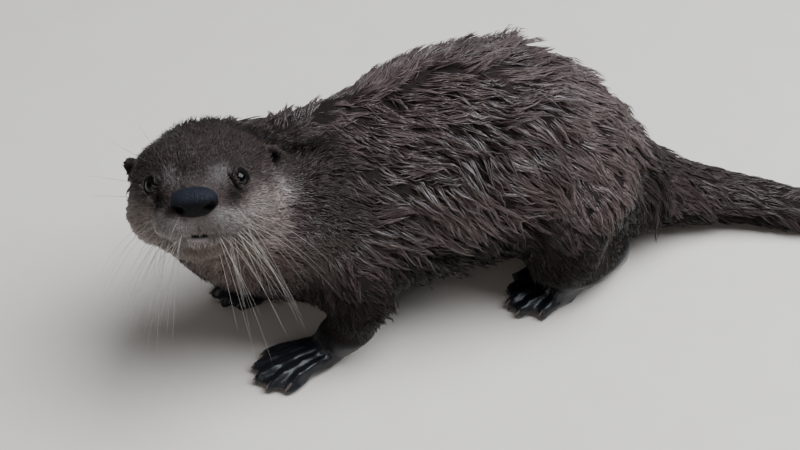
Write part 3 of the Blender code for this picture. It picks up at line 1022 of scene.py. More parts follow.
@dataclass
class Coat:
    """The coat: short hairs on the head and pointed wet locks elsewhere.

    Fields:
        hairs: how many hairs the head has.
        lock_count: how many locks the rest has.
        lowest: the least height of a hair's point over the floor, in millimetres.
    """

    skin: Skin
    axes: HeadAxes
    sizes: LockSizes = LockSizes()
    hairs: int = 21500
    lock_count: int = 6700
    lowest: float = 0.4
    rng: np.random.Generator = field(default_factory=lambda: np.random.default_rng(5))

    def swirl(self, roots: Roots, most: float) -> Array:
        """The lie of the coat at the roots, turned about the normal by smooth noise.

        Args:
            roots: the roots.
            most: the usual size of the turn, in radians.

        Returns:
            Unit directions on the skin.
        """
        turn = most * (ripple(roots.place, 46.0, 3) + 0.6 * ripple(roots.place, 17.0, 4))
        turn = turn + self.rng.normal(0, 0.10, len(turn))
        side = np.cross(roots.normal, roots.way)
        return unit(roots.way * np.cos(turn)[:, None] + side * np.sin(turn)[:, None])

    def gather(self, roots: Roots, cell: Array, seed: int) -> tuple[Array, Array]:
        """Groups neighbouring roots whose tips come together.

        The groups are the cells of a grid, seen through a wavy shift of the places.

        Args:
            roots: the roots.
            cell: each root's grid size.
            seed: chooses the shift.

        Returns:
            Each root's group number, and the way along the skin to its group's middle.
        """
        shift = np.stack([ripple(roots.place, 19.0, seed + k) for k in range(3)], -1) * 4.0
        _, group = np.unique(cells_of(roots.place + shift, cell), return_inverse=True)
        group = group.reshape(-1)
        many = np.bincount(group)
        middle = summed(group, roots.place) / many[:, None]
        pull = middle[group] - roots.place
        pull = pull * (np.linalg.norm(pull, axis=1) < 1.2 * cell)[:, None]
        return group, along_skin(pull, roots.normal)

    def add(self, name: str, spikes: Sequence[Spikes], roots: Sequence[Roots],
            tones: Sequence[Array]) -> None:
        """Makes one piece of the coat from one or more sets of spikes.

        Args:
            name: the piece's name.
            spikes: its sets of spikes.
            roots: for each set, one root for each spike.
            tones: for each set, how light each spike is, around 0.
        """
        loops, sizes, points, patch, lay, marks, cover = [], [], [], [], [], [], []
        start = 0
        for some, root, tone in zip(spikes, roots, tones):
            corner, size = some.faces()
            place = some.points()
            along = some.along()
            loops.append(corner + start)
            sizes.append(size)
            points.append(place.reshape(-1, 3))
            patch.append(some.patch(root.chart))
            lay.append(some.lay(self.rng.random(len(tone))))
            marks.append(np.repeat(root.marks, place.shape[1], 0))
            tail = along * 0 + root.share(Region.TAIL)[:, None]
            cover.append(np.stack([tone[:, None] + along * 0, along, tail, along * 0 + 1],
                                  -1).reshape(-1, 4))
            start += points[-1].shape[0]
        place = np.concatenate(points)
        place[:, 2] = np.maximum(place[:, 2], self.lowest)
        mesh = make_mesh(name, place, np.concatenate(loops), np.concatenate(sizes))
        for label, chart in (("OFBake", patch), ("lay", lay)):
            layer = mesh.uv_layers.new(name=label)
            layer.data.foreach_set("uv", np.concatenate(chart).astype(np.float32).ravel())
        paint(mesh, "marks", np.concatenate(marks))
        paint(mesh, "strand", np.concatenate(cover))
        add_piece(name, mesh, CoatFinish().material())

    def head_roots(self) -> Roots:
        """Finds where the head's short hairs grow, thick at the front and thinner at the back.

        Returns:
            Their roots, none of them on the eyes, the nose or the mouth.
        """

        def density(points: Array, shares: Array, normals: Array) -> Array:
            """How thick the hairs stand: most round the nose, and some more on the ears.

            Args:
                points: places on the skin.
                shares: their shares in the regions.
                normals: the skin's normals there; not used.

            Returns:
                A density for each place.
            """
            ears = shares[:, REGIONS.index(Region.EAR)]
            on_head = ease(shares[:, 0] + ears, 0.15, 0.5) * (1 + 1.2 * ears)
            far = FACE.muzzle_distance(self.axes.inside(points))
            return on_head * (0.55 + 0.6 * ease(far, 70.0, 58.0) + 0.5 * ease(far, 34.0, 20.0))

        roots = Follicles(self.skin, 21).scatter(density, self.hairs)
        head = self.axes.inside(roots.place)
        free = np.ones(len(head), bool)
        for side in (-1, 1):
            off = head - FACE.eye_at(side)
            far = np.linalg.norm(off, axis=1)
            angle = FACE.off_gaze(off / far[:, None], side)
            free &= ~((far < 9.0) & (angle < FACE.aperture + 0.13))
        nose = (head - FACE.nose) / (np.array(FACE.nose_half) + 0.2)
        free &= (nose**2).sum(1) > 1
        lip = ease(head[:, 2], FACE.mouth_height - 3.0, FACE.mouth_height - 1.8) \
            * ease(head[:, 2], FACE.mouth_height + 2.8, FACE.mouth_height + 2.2)
        free &= ~((lip > 0.4) & (np.abs(head[:, 0]) < FACE.slit + 1.0) & (head[:, 1] > 20))
        return roots.pick(np.flatnonzero(free))

    def head_hairs(self) -> None:
        """Short hairs, 2 mm long by the nose and longer backwards, tips drawn together.

        A hair's path is root + way L t + normal H t (1.35 - 0.5 t) + pull 0.7 t^1.5, with the
        pull towards the middle of its group.
        """
        roots = self.head_roots()
        rng = self.rng
        head = self.axes.inside(roots.place)
        far = FACE.muzzle_distance(head)
        ear = np.clip(roots.share(Region.EAR) * 1.6, 0, 1)
        crown = ease(head[:, 2], 10.0, 26.0) * ease(head[:, 1], 26.0, 0.0)
        length = 2.0 + 0.08 * far + 2.4 * ease(far, 46.0, 80.0) - 1.6 * crown
        close = FACE.ear_distance(head)
        length = length * (1 - 0.62 * ease(close, 18.0, 11.0)) * (1 - ear) + 1.8 * ear
        length = length * rng.uniform(0.75, 1.15, len(far))
        group, pull = self.gather(roots, 1.9 + 0.045 * far, 60)
        way = self.swirl(roots, 0.18)
        bend = rng.normal(0, 0.16, group.max() + 1)[group]
        side = np.cross(roots.normal, way)
        rise = 0.24 + 0.34 * crown * (1 - ear) + rng.normal(0, 0.06, group.max() + 1)[group]
        lift = length * np.clip(rise + rng.uniform(-0.05, 0.08, len(far)), 0.1, 0.9)
        lift = lift * (1 + 0.4 * ear)
        t = np.array([0.0, 0.5, 1.0])[None, :, None]
        path = (roots.place[:, None] - roots.normal[:, None] * 0.25
                + way[:, None] * length[:, None, None] * t
                + pull[:, None] * 0.7 * (1 - ear)[:, None, None] * t**1.5
                + side[:, None] * (length * bend)[:, None, None] * np.sin(3.0 * t)
                + roots.normal[:, None] * lift[:, None, None] * t * (1.35 - 0.5 * t))
        base = (0.19 + 0.0018 * far)[:, None] * rng.uniform(0.8, 1.2, (len(far), 1))
        radius = base * np.array([1.0, 0.72])[None]
        tone = ripple(roots.place, 9.0, 12) * 0.3 + rng.normal(0, 0.3, len(far))
        tone = tone + rng.normal(0, 0.3, group.max() + 1)[group]
        back = head[:, 1] < -2
        for name, pick in (("coat_face", ~back), ("coat_crown", back)):
            pick = np.flatnonzero(pick)
            spikes = Spikes(path[pick], radius[pick], roots.normal[pick])
            self.add(name, [spikes], [roots.pick(pick)], [tone[pick]])

    def lock_roots(self) -> Roots:
        """Finds where the locks grow on the cheeks, neck, trunk, legs and tail.

        Returns:
            One root for each lock.
        """

        def density(points: Array, shares: Array, normals: Array) -> Array:
            """How thick the locks stand: none on the face, ears and feet, fewer underneath.

            Args:
                points: places on the skin.
                shares: their shares in the regions.
                normals: the skin's normals there.

            Returns:
                A density for each place.
            """
            head, share = self.axes.inside(points), dict(zip(REGIONS, shares.T))
            face = ease(FACE.muzzle_distance(head), 60.0, 50.0)
            face = face * ease(share[Region.HEAD] + share[Region.EAR], 0.1, 0.3)
            furred = (1 - face) * ease(share[Region.FOOT], 0.35, 0.12)
            under = 1 - 0.55 * ease(normals[:, 2], -0.35, -0.75)
            close = ease(FACE.ear_distance(head), 12.0, 16.0)
            return (shares @ self.sizes.density) * furred * under * close

        return Follicles(self.skin, 31).scatter(density, self.lock_count)

    def locks(self) -> None:
        """Wet locks: a flat core and strands round it, drawn to one point.

        The middle of a lock goes root + way L t + normal H g(t) + side A sin(2 pi f t + p) t
        + pull D s(t), with g = 1 - (1 - t)^2 - 0.25 t^4, s an eased step, and the pull
        towards the middle of its group. A strand adds its root's offset times
        1 - (0.25 + D) s(t); the short under strands have a small D and so fill the gaps.
        """
        locks = self.lock_roots()
        rng, sizes, shares = self.rng, self.sizes, locks.shares
        count = len(locks.place)
        group, pull = self.gather(locks, shares @ sizes.cell, 80)
        groups = group.max() + 1
        way = self.swirl(locks, 0.34)
        way = unit(way + unit(summed(group, way)[group]) * 2.0)
        way = unit(along_skin(way, locks.normal))
        side = np.cross(locks.normal, way)
        length = (shares @ sizes.length) * rng.uniform(0.8, 1.15, count) \
            * rng.uniform(0.8, 1.2, groups)[group]
        flick = (rng.random(groups) > 0.94)[group] * ease(locks.normal[:, 2], 0.2, 0.6) \
            * ease(locks.place[:, 1], -120.0, -80.0)
        lift = (shares @ sizes.lift) * rng.uniform(0.7, 1.1, count) \
            * rng.uniform(0.65, 1.2, groups)[group] * (1 + 0.9 * flick)
        nape = hump(locks.place[:, 1], -158.0, 24.0) * ease(locks.normal[:, 2], 0.5, 0.85)
        lift = lift * (1 - 0.85 * nape)
        length = length * (1 - 0.30 * nape)
        spread = (shares @ sizes.spread) * rng.uniform(0.8, 1.2, count)
        wave = length * (shares @ sizes.curl) * rng.uniform(0.4, 1.4, groups)[group]
        phase = rng.uniform(0, PHASE, groups)[group] + rng.normal(0, 0.4, count)
        beat = rng.uniform(0.55, 1.05, groups)[group]
        t = STEPS
        rise = 1 - (1 - t) ** 2 - 0.25 * t**4
        step = ease(t, 0.0, 1.0)
        sway = np.sin(6.283 * beat[:, None] * t + phase[:, None]) * t * wave[:, None]

        def course(own: Array, each: Array, height: Array, offset: Array, draw: float) -> Array:
            """The paths of spikes that belong to some locks.

            Args:
                own: each spike's lock.
                each: each spike's length.
                height: how high it rises.
                offset: its root's place beside its lock's.
                draw: the share of the pull that it follows.

            Returns:
                Places as (spike, ring, xyz), in millimetres.
            """
            over = height[:, None] * rise - 0.6 * (1 - t)
            return (locks.place[own][:, None] + way[own][:, None] * (each[:, None] * t)[:, :, None]
                    + locks.normal[own][:, None] * over[:, :, None]
                    + side[own][:, None] * sway[own][:, :, None]
                    + pull[own][:, None] * (draw * step)[None, :, None]
                    + offset[:, None] * (1 - (0.25 + draw) * step)[None, :, None])

        tone = ripple(locks.place, 24.0, 15) * 0.3 + rng.normal(0, 0.35, groups)[group]
        haunch = ease(locks.place[:, 1], -50.0, 0.0) * ease(locks.place[:, 2], 60.0, 90.0)
        tone = tone + (1 - locks.share(Region.TAIL)) * 0.9 * haunch
        lone = np.arange(count)
        sets = [(lone, Spikes(course(lone, length, lift * 0.8, np.zeros((count, 3)),
                                     0.6)[:, [0, 2, 3, 4]],
                              (0.40 * spread)[:, None] * np.array([1.0, 0.85, 0.5])[None],
                              locks.normal, 5, 0.5), tone + rng.normal(0, 0.15, count) - 0.1)]
        for kind in STRANDS:
            reach, rings = kind.reach, list(kind.rings)
            own = np.repeat(lone, kind.many)
            turn = rng.uniform(0, PHASE, len(own))
            off = np.sqrt(rng.uniform(0.1, 1.0, len(own))) * spread[own] * (3.1 - 2.0 * reach)
            offset = (side[own] * (off * np.cos(turn))[:, None]
                      + way[own] * (off * np.sin(turn) * 0.8)[:, None])
            path = course(own, length[own] * rng.uniform(0.8, 1.08, len(own)) * reach,
                          lift[own] * rng.uniform(0.8, 1.15, len(own)) * (0.25 + 0.75 * reach),
                          offset, kind.draw)[:, rings]
            base = (0.28 + 0.007 * length)[own] * rng.uniform(0.7, 1.2, len(own))
            radius = base[:, None] * TAPER[rings[:-1]][None]
            sets.append((own, Spikes(path, radius, locks.normal[own]),
                         tone[own] + rng.normal(0, 0.35, len(own))))
        for name, pick in self.parted(locks).items():
            chosen = [np.flatnonzero(pick[own]) for own, _, _ in sets]
            self.add(name, [some.part(c) for (_, some, _), c in zip(sets, chosen)],
                     [locks.pick(own[c]) for (own, _, _), c in zip(sets, chosen)],
                     [shade[c] for (_, _, shade), c in zip(sets, chosen)])

    def parted(self, roots: Roots) -> dict[str, Array]:
        """Which locks go to which piece: the tail, the fore and hind legs, and four bands.

        Args:
            roots: the locks' roots.

        Returns:
            A mask for each piece's name.
        """
        limbs = roots.share(Region.THIGH) + roots.share(Region.SHANK) + roots.share(Region.FOOT)
        tail = roots.share(Region.TAIL) > 0.5
        legs = (limbs > 0.5) & ~tail
        rest = ~tail & ~legs
        y = roots.place[:, 1]
        cuts = np.quantile(y[rest], [0.25, 0.5, 0.75])
        band = np.searchsorted(cuts, y)
        names = ("coat_neck", "coat_chest", "coat_loin", "coat_rump")
        ahead = y < centre_of("loin")[1]
        pieces = {"coat_tail": tail, "coat_forelegs": legs & ahead, "coat_hindlegs": legs & ~ahead}
        pieces.update({name: rest & (band == k) for k, name in enumerate(names)})
        return pieces

    def build(self) -> None:
        """Makes every piece of the coat."""
        self.head_hairs()
        self.locks()


# ---------------- features of the face
def grid_mesh(name: str, points: Array) -> bpy.types.Mesh:
    """A closed mesh from a grid whose first and last rows are poles and whose columns wrap.

    Args:
        name: the mesh's name.
        points: places as (row, column, xyz); every point of a pole row is the same.

    Returns:
        The mesh, with its normals pointing outwards when rows run so that
        (next column - here) x (next row - here) points out.
    """
    rows, columns = points.shape[:2]
    number = 1 + (np.arange(rows - 2)[:, None] * columns + np.arange(columns)[None])
    last = 1 + (rows - 2) * columns
    right = np.roll(number, -1, 1)
    quads = np.stack([number[:-1], right[:-1], right[1:], number[1:]], -1).reshape(-1, 4)
    low = np.stack([np.zeros(columns, int), right[0], number[0]], -1)
    high = np.stack([number[-1], right[-1], np.full(columns, last)], -1)
    loops = np.concatenate([low.ravel(), quads.ravel(), high.ravel()])
    sizes = np.concatenate([np.full(columns, 3), np.full(len(quads), 4), np.full(columns, 3)])
    return make_mesh(name, listed(points), loops, sizes)


def ball_grid(rows: int, columns: int) -> Array:
    """Unit directions over a sphere: rows from -y to +y, columns round the y axis.

    A direction is (sin a cos b, -cos a, sin a sin b), a from 0 to pi and b from 0 to 2 pi.
    """
    a = np.linspace(0, math.pi, rows)[:, None]
    b = -np.linspace(0, 2 * math.pi, columns, endpoint=False)[None]
    return np.stack([np.sin(a) * np.cos(b), -np.cos(a) + 0 * b, np.sin(a) * np.sin(b)], -1)


@dataclass
class Eyes:
    """Two glossy dark eyes, each with the dark rim of its lids."""

    axes: HeadAxes
    bulge: float = 0.35
    rim_radius: float = 0.38
    rim_rings: int = 64
    rim_sides: int = 12

    def build(self) -> None:
        """Makes the eyeballs, their corneas raised by a bell round the gaze, and the rims."""
        for side, name in ((-1, "left"), (1, "right")):
            ball, gaze = FACE.eye_at(side), FACE.gaze_of(side)
            way = ball_grid(33, 48)
            axis = unit(np.cross((0.0, 1.0, 0.0), gaze))
            way = way @ np.array(Matrix.Rotation(math.acos(gaze[1]), 3, Vector(axis))).T
            off = np.arccos(np.clip(way @ gaze, -1, 1))
            reach = FACE.eye_radius + self.bulge * hump(off, 0.0, 0.5)
            mesh = grid_mesh(f"eye_{name}_ball", self.axes.outside(ball + way * reach[..., None]))
            pupil, iris = ease(off, 0.36, 0.30), ease(off, 0.80, 0.70)
            paint(mesh, "gaze", listed(np.stack([pupil, iris, off * 0, off * 0 + 1], -1)))
            add_piece(f"eye_{name}_ball", mesh, EyeFinish().material(), [f"eye_{name}"])
            self.rim(name, side)

    def rim(self, name: str, side: int) -> None:
        """A soft ring round the opening: a flat tube along the almond of the lids.

        Args:
            name: the side's name.
            side: -1 for the left and 1 for the right.
        """
        rings, sides = self.rim_rings, self.rim_sides
        turn = np.linspace(0, 2 * math.pi, rings, endpoint=False)[:, None]
        ball, gaze = FACE.eye_at(side), FACE.gaze_of(side)
        level, steep = FACE.across_gaze(side)
        wide, tall = np.array(FACE.almond) * FACE.aperture
        out = level * np.tan(wide * np.cos(turn)) + steep * np.tan(tall * np.sin(turn))
        ring = ball + unit(gaze + out) * (FACE.eye_radius + 0.05)
        small = np.linspace(0, 2 * math.pi, sides, endpoint=False)[None, :, None]
        normal = unit(ring - ball)
        across = unit(np.cross(normal, np.roll(ring, -1, 0) - np.roll(ring, 1, 0)))
        tube = ring[:, None] + self.rim_radius * (normal[:, None] * np.cos(small) * 0.8
                                                  + across[:, None] * np.sin(small) * 1.3)
        number = np.arange(rings)[:, None] * sides + np.arange(sides)[None]
        right, below = np.roll(number, -1, 1), np.roll(number, -1, 0)
        quads = np.stack([number, right, np.roll(below, -1, 1), below], -1).reshape(-1)
        mesh = make_mesh(f"eyelid_{name}", self.axes.outside(tube.reshape(-1, 3)), quads,
                         np.full(rings * sides, 4))
        add_piece(f"eyelid_{name}", mesh, BareFinish().material())


@dataclass
class Nose:
    """The nose pad: a broad leathery dome with a comma of a nostril at each lower corner."""

    axes: HeadAxes
    square: float = 2.7

    def build(self) -> None:
        """Makes the pad.

        A direction d gives the point half * d, squared off across by a power, narrowed above
        and below the middle by eased steps and flattened in front. Each nostril is a bell
        pressed in along y, deepest at its middle, and a shallow split runs down the centre.
        """
        way = ball_grid(72, 110)
        half = np.array(FACE.nose_half)
        round_ = unit(np.abs(way[..., [0, 2]]) + 1e-9)
        full = (round_**self.square).sum(-1) ** (-1 / self.square)
        point = way * half * np.stack([full, full * 0 + 1, full], -1)
        x, y, z = point[..., 0], point[..., 1], point[..., 2]
        narrow = 1 - 0.36 * ease(z, -1.0, -8.5) - 0.10 * ease(z, 2.0, 8.0)
        x = x * narrow * 0.97
        front = ease(y, 0.0, 4.0)
        y = y - 0.9 * front * hump(z, -4.5, 3.2) * ease(np.abs(x), 6.0, 2.0)
        y = y + 0.6 * front * hump(np.abs(x), 8.0, 3.2) * hump(z, 1.0, 3.0)
        hole = np.exp(-(((np.abs(x) - 7.3 - 0.25 * (z + 3)) / 2.3) ** 2) - ((z + 3.1) / 1.7) ** 2)
        slit = hump(np.abs(x), 9.6, 1.5) * hump(z, -1.2, 1.4)
        y = y - front * (4.6 * hole + 1.8 * slit)
        y = y - 0.5 * front * hump(x, 0.0, 0.5) * ease(z, -2.0, -4.0)
        point = np.stack([x, y, z], -1) + FACE.nose
        mesh = grid_mesh("nose_pad", self.axes.outside(point))
        # the nostrils' own dark lining, and painted shade in the holes and the side slits
        inside = np.clip(hole * 1.4 + slit * 0.7, 0, 1) * front
        # the mask of the painted sky reflection on the pad's upper side
        top = ease(z, -2.0, 4.0)
        paint(mesh, "pad", listed(np.stack([inside, top, x * 0, x * 0 + 1], -1)))
        add_piece("nose_pad", mesh, NoseFinish().material(), ["nose"])


@dataclass
class Whiskers:
    """Long pale whiskers from the lips and cheeks, and fine dark ones over the eyes."""

    axes: HeadAxes
    skin: Skin
    margin: Array = field(default_factory=lambda: np.array([13.0, 24.0, 13.0]))
    steps: int = 14
    chin_count: int = 13
    rng: np.random.Generator = field(default_factory=lambda: np.random.default_rng(44))

    def grow(self, name: str, root: Array, way: Array, length: Array, sag: Array, base: float,
             finish: "Finish") -> None:
        """Tapering whiskers: root + way L t, and down by sag L t^2, kept inside the row's box.

        Args:
            name: the piece's name.
            root: where they start, in the head's frame.
            way: how they set out, in the head's frame.
            length: how long each is.
            sag: how far each droops, as a share of its length.
            base: the radius at the root.
            finish: what they are made of.
        """
        start, ahead = self.axes.outside(root), self.axes.turned(unit(way))
        t = np.linspace(0, 1, self.steps)[None, :, None]
        down = np.array([0.0, 0.0, -1.0])
        tip = start + ahead * length[:, None] + down * (sag * length)[:, None]
        low, high = np.array(CAD_BOX) / MM
        low, high, run = low - self.margin, high + self.margin, tip - start
        below = np.where(tip < low, (low - start) / np.minimum(run, -1e-6), 1.0)
        above = np.where(tip > high, (high - start) / np.maximum(run, 1e-6), 1.0)
        length = length * np.clip(np.minimum(below, above).min(1), 0.1, 1.0)
        path = (start[:, None] + ahead[:, None] * (length[:, None, None] * t)
                + down * (sag * length)[:, None, None] * t * t)
        taper = (1 - 0.8 * t[0, :-1, 0])[None] * base
        up = np.tile([0.1, 0.2, 1.0], (len(root), 1))
        spikes = Spikes(path, np.repeat(taper, len(root), 0), up, 5, 1.0)
        loops, sizes = spikes.faces()
        mesh = make_mesh(name, spikes.points().reshape(-1, 3), loops, sizes)
        layer = mesh.uv_layers.new(name="OFBake")
        spot = np.stack([np.linspace(0.02, 0.95, len(root)), np.full(len(root), 0.5)], -1)
        layer.data.foreach_set("uv", spikes.patch(spot).astype(np.float32).ravel())
        add_piece(name, mesh, finish.material())

    def settle(self, root: Array) -> Array:
        """The skin's points nearest to rough roots.

        Args:
            root: places in the head's frame.

        Returns:
            The nearest points, in the head's frame.
        """
        head = self.axes.inside(self.skin.points)
        near = ((root[:, None] - head[None]) ** 2).sum(2).argmin(1)
        return head[near]

    def build(self) -> None:
        """Makes the whiskers in rows that fan out, back and down from each side of the lip."""
        rng = self.rng
        for side, name in ((-1, "left"), (1, "right")):
            row, place = np.meshgrid(np.arange(5), np.arange(4), indexing="ij")
            row, place = row.ravel() / 4, place.ravel() / 3
            count = len(row)
            root = np.stack([side * (10 + 11 * place + rng.normal(0, 0.7, count)), 34 - 9 * place,
                             -9.5 - 8.5 * row + rng.normal(0, 0.5, count)], -1)
            root = self.settle(root)
            way = np.stack([side * (0.50 + 0.42 * place + rng.normal(0, 0.18, count)),
                            0.42 - 0.60 * place + rng.normal(0, 0.16, count),
                            -0.30 - 0.60 * row + rng.normal(0, 0.16, count)], -1)
            length = rng.uniform(32, 58, count)
            sag = 0.50 + 0.12 * (1 - row) + rng.uniform(0, 0.2, count)
            self.grow(f"whiskers_{name}", root, way, length, sag, 0.12, PALE_WHISKER)
            chin = self.chin_count
            root = self.settle(np.stack([side * rng.uniform(5, 27, chin), rng.uniform(8, 30, chin),
                                         rng.uniform(-31, -17, chin)], -1))
            way = np.stack([side * rng.uniform(0.1, 0.7, chin), rng.uniform(0.1, 0.6, chin),
                            rng.uniform(-1.1, -0.7, chin)], -1)
            self.grow(f"chin_whiskers_{name}", root, way, rng.uniform(22, 44, chin),
                      np.full(chin, 0.22), 0.115, PALE_WHISKER)
            root = self.settle(np.array([(14, 14, 20), (19, 8, 20), (26, 4, 18), (34, 2, 6),
                                         (35, -2, -2)], float) * (side, 1, 1))
            way = np.array([(0.15, -0.1, 0.95), (0.45, -0.1, 0.9), (0.8, -0.1, 0.6),
                            (0.95, -0.05, 0.3), (0.95, -0.1, 0.15)]) * (side, 1, 1)
            self.grow(f"brow_whiskers_{name}", root, way, np.array([20.0, 24, 27, 28, 24]),
                      np.full(5, 0.10), 0.11, DARK_WHISKER)


# ---------------- claws
@dataclass
class Claws:
    """Twenty short claws, each a curved tapering horn on its solid's own axis."""

    rings: int = 10
    sides: int = 12
    reach: float = 0.76
    radius: float = 1.2
    lowest: float = 0.1

    def build(self) -> None:
        """Makes all the claws as one piece.

        A solid's long axis comes from the spread of its points. The horn's middle goes along
        it, dipping by a parabola towards the tip, and its radius falls as sqrt(1 - t^1.6).
        """
        names = [name for name in sorted(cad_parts) if name.startswith("claw")]
        path, radius = [], []
        for name in names:
            points, _ = arrays_of(name)
            middle = points.mean(0)
            axis = np.linalg.svd(points - middle)[2][0]
            axis = axis * (-1 if axis[1] > 0 else 1)
            span = (points - middle) @ axis
            t = np.linspace(0, 1, self.rings + 1)
            line = middle + axis * (span.min() + np.ptp(span) * self.reach * t)[:, None]
            line[:, 2] += 0.55 - 1.2 * t**2
            path.append(line)
            radius.append(self.radius * np.sqrt(1 - t[:-1] ** 1.6) * (1 - 0.28 * t[:-1]))
        up = np.tile([0.0, 0.0, 1.0], (len(path), 1))
        spikes = Spikes(np.array(path), np.array(radius), up, self.sides, 1.0)
        points = spikes.points().reshape(-1, 3)
        points[:, 2] = np.maximum(points[:, 2], self.lowest)
        loops, sizes = spikes.faces()
        mesh = make_mesh("claws", points, loops, sizes)
        paint(mesh, "strand", np.stack([spikes.along().ravel()] * 4, -1))
        add_piece("claws", mesh, ClawFinish().material(), names)


# ---------------- finishes
PIGMENT_INPUTS = ("Pale", "Silver", "Tan", "Dark", "Tone", "Tip")


class Pigment(Enum):
    """The coat's colours, as linear red, green, blue and alpha."""

    DEEP = (0.026, 0.0165, 0.0145, 1)
    LIGHT = (0.140, 0.098, 0.092, 1)
    TIP = (0.135, 0.095, 0.088, 1)
    # dark fur, and the colour of the painted shade under and low on the body
    DARK = (0.0085, 0.0056, 0.0048, 1)
    TAN = (0.300, 0.232, 0.190, 1)
    SILVER = (0.310, 0.295, 0.290, 1)
    PALE = (0.52, 0.45, 0.41, 1)


def group_of(name: str, inputs: dict[str, tuple[str, float | tuple]], outputs: dict[str, str]
             ) -> tuple[bpy.types.NodeTree, bpy.types.Node, bpy.types.Node] | None:
    """An empty shader node group with named sockets, or None if it is there already.

    Args:
        name: the group's name.
        inputs: each input's kind, Float, Color or Vector, and its default value.
        outputs: each output's kind.

    Returns:
        The group with its input and output nodes.
    """
    if name in bpy.data.node_groups:
        return None
    tree = bpy.data.node_groups.new(name, "ShaderNodeTree")
    for label, (kind, value) in inputs.items():
        socket = tree.interface.new_socket(label, in_out="INPUT", socket_type=f"NodeSocket{kind}")
        socket.default_value = value
    for label, kind in outputs.items():
        tree.interface.new_socket(label, in_out="OUTPUT", socket_type=f"NodeSocket{kind}")
    return tree, tree.nodes.new("NodeGroupInput"), tree.nodes.new("NodeGroupOutput")


@dataclass
class Wiring:
    """A short way to add nodes to a tree and join them."""

    tree: bpy.types.NodeTree

    def join(self, value: object, socket: bpy.types.NodeSocket) -> None:
        """Links a socket to an input, or gives the input a plain value.

        Args:
            value: an output socket, a number or a tuple.
            socket: the input.
        """
        if isinstance(value, bpy.types.NodeSocket):
            self.tree.links.new(value, socket)
        else:
            socket.default_value = value

    def node(self, kind: str, settings: dict | None = None, **links: object) -> bpy.types.Node:
        """Adds a node; a link is a socket or a value, given by input name or number.

        Args:
            kind: the node's type without ShaderNode.
            settings: the node's own properties.
            links: inputs by name, with spaces as underscores, or by number as i0, i1.

        Returns:
            The node.
        """
        node = self.tree.nodes.new(f"ShaderNode{kind}")
        for key, value in (settings or {}).items():
            setattr(node, key, value)
        for key, value in links.items():
            numbered = key[0] == "i" and key[1:].isdigit()
            self.join(value, node.inputs[int(key[1:]) if numbered else key.replace("_", " ")])
        return node

    def maths(self, how: str, first: object, second: object = 0.0) -> bpy.types.NodeSocket:
        """One Math node's result."""
        return self.node("Math", {"operation": how}, i0=first, i1=second).outputs[0]

    def times(self, first: object, second: object) -> bpy.types.NodeSocket:
        """The product of two values."""
        return self.maths("MULTIPLY", first, second)

    def mix(self, share: object, first: object, second: object) -> bpy.types.NodeSocket:
        """A blend of two colours."""
        settings = {"data_type": "RGBA", "clamp_factor": True}
        return self.node("Mix", settings, i0=share, i6=first, i7=second).outputs[2]

    def remap(self, value: object, start: float, end: float, low: float, high: float
              ) -> bpy.types.NodeSocket:
        """The number between low and high that a value's place from start to end gives."""
        return self.node("MapRange", {"clamp": True}, i0=value, i1=start, i2=end, i3=low,
                         i4=high).outputs[0]

    def place(self, stretch: tuple | None = None) -> bpy.types.NodeSocket:
        """The object's own coordinates, in metres, times a stretch if one is given."""
        place = self.node("TexCoord").outputs["Object"]
        return self.stretched(place, stretch) if stretch else place

    def stretched(self, place: object, stretch: tuple) -> bpy.types.NodeSocket:
        """A place, times a number for each axis."""
        return self.node("VectorMath", {"operation": "MULTIPLY"}, i0=place, i1=stretch).outputs[0]

    def noise(self, scale: float, detail: float, place: object = None) -> bpy.types.NodeSocket:
        """Soft noise over the object's own coordinates, or over another place."""
        place = self.place() if place is None else place
        return self.node("TexNoise", Vector=place, Scale=scale, Detail=detail).outputs[0]

    def attribute(self, name: str) -> tuple[bpy.types.NodeSocket, ...]:
        """The four channels of a stored attribute.

        Args:
            name: the attribute's name.

        Returns:
            Red, green, blue and alpha.
        """
        node = self.node("Attribute", {"attribute_name": name})
        parts = self.node("SeparateColor", i0=node.outputs["Color"])
        return (*parts.outputs[:3], node.outputs["Alpha"])

    def pigment(self, *values: object) -> bpy.types.NodeSocket:
        """The shared coat colour from pale, silver, tan, dark, tone and tip."""
        links = dict(zip(PIGMENT_INPUTS, values))
        return self.node("Group", {"node_tree": pigment_group()}, **links).outputs[0]

    def grain(self, scale: float, depth: float) -> bpy.types.NodeOutputs:
        """The shared grain of bare skin: its Height and its Mask."""
        links = {"Scale": scale, "Depth": depth}
        return self.node("Group", {"node_tree": grain_group()}, **links).outputs

    def bump(self, height: object, distance: float, strength: float, shader: bpy.types.NodeInputs
             ) -> None:
        """Joins a height to the shader's normal."""
        node = self.node("Bump", Height=height, Distance=distance, Strength=strength)
        self.join(node.outputs[0], shader["Normal"])


def pigment_group() -> bpy.types.NodeTree:
    """The coat's colour from its marks, a strand's tone and the way along it.

    Returns:
        The group: inputs Pale, Silver, Tan, Dark, Tone, Tip; output Color.
    """
    spots = {key: ("Float", 0.0) for key in PIGMENT_INPUTS}
    made = group_of("coat_pigment", spots, {"Color": "Color"})
    if made is None:
        return bpy.data.node_groups["coat_pigment"]
    tree, start, end = made
    wire = Wiring(tree)
    pale, silver, tan, dark, tone, tip = start.outputs[:len(PIGMENT_INPUTS)]
    shade = wire.remap(tone, -1.0, 1.0, 0.0, 1.0)
    colour = wire.mix(shade, Pigment.DEEP.value, Pigment.LIGHT.value)
    colour = wire.mix(wire.maths("POWER", tip, 2.2), colour, Pigment.TIP.value)
    # the dark mark: dark fur, and painted shade under and low on the body
    colour = wire.mix(dark, colour, Pigment.DARK.value)
    strength = wire.remap(tone, -0.9, 0.9, 0.45, 1.0)
    amount = wire.times(strength, wire.remap(tip, 0.0, 0.8, 0.35, 1.0))
    for mask, ink in ((tan, Pigment.TAN), (silver, Pigment.SILVER), (pale, Pigment.PALE)):
        colour = wire.mix(wire.times(mask, amount), colour, ink.value)
    wire.join(colour, end.inputs[0])
    return tree


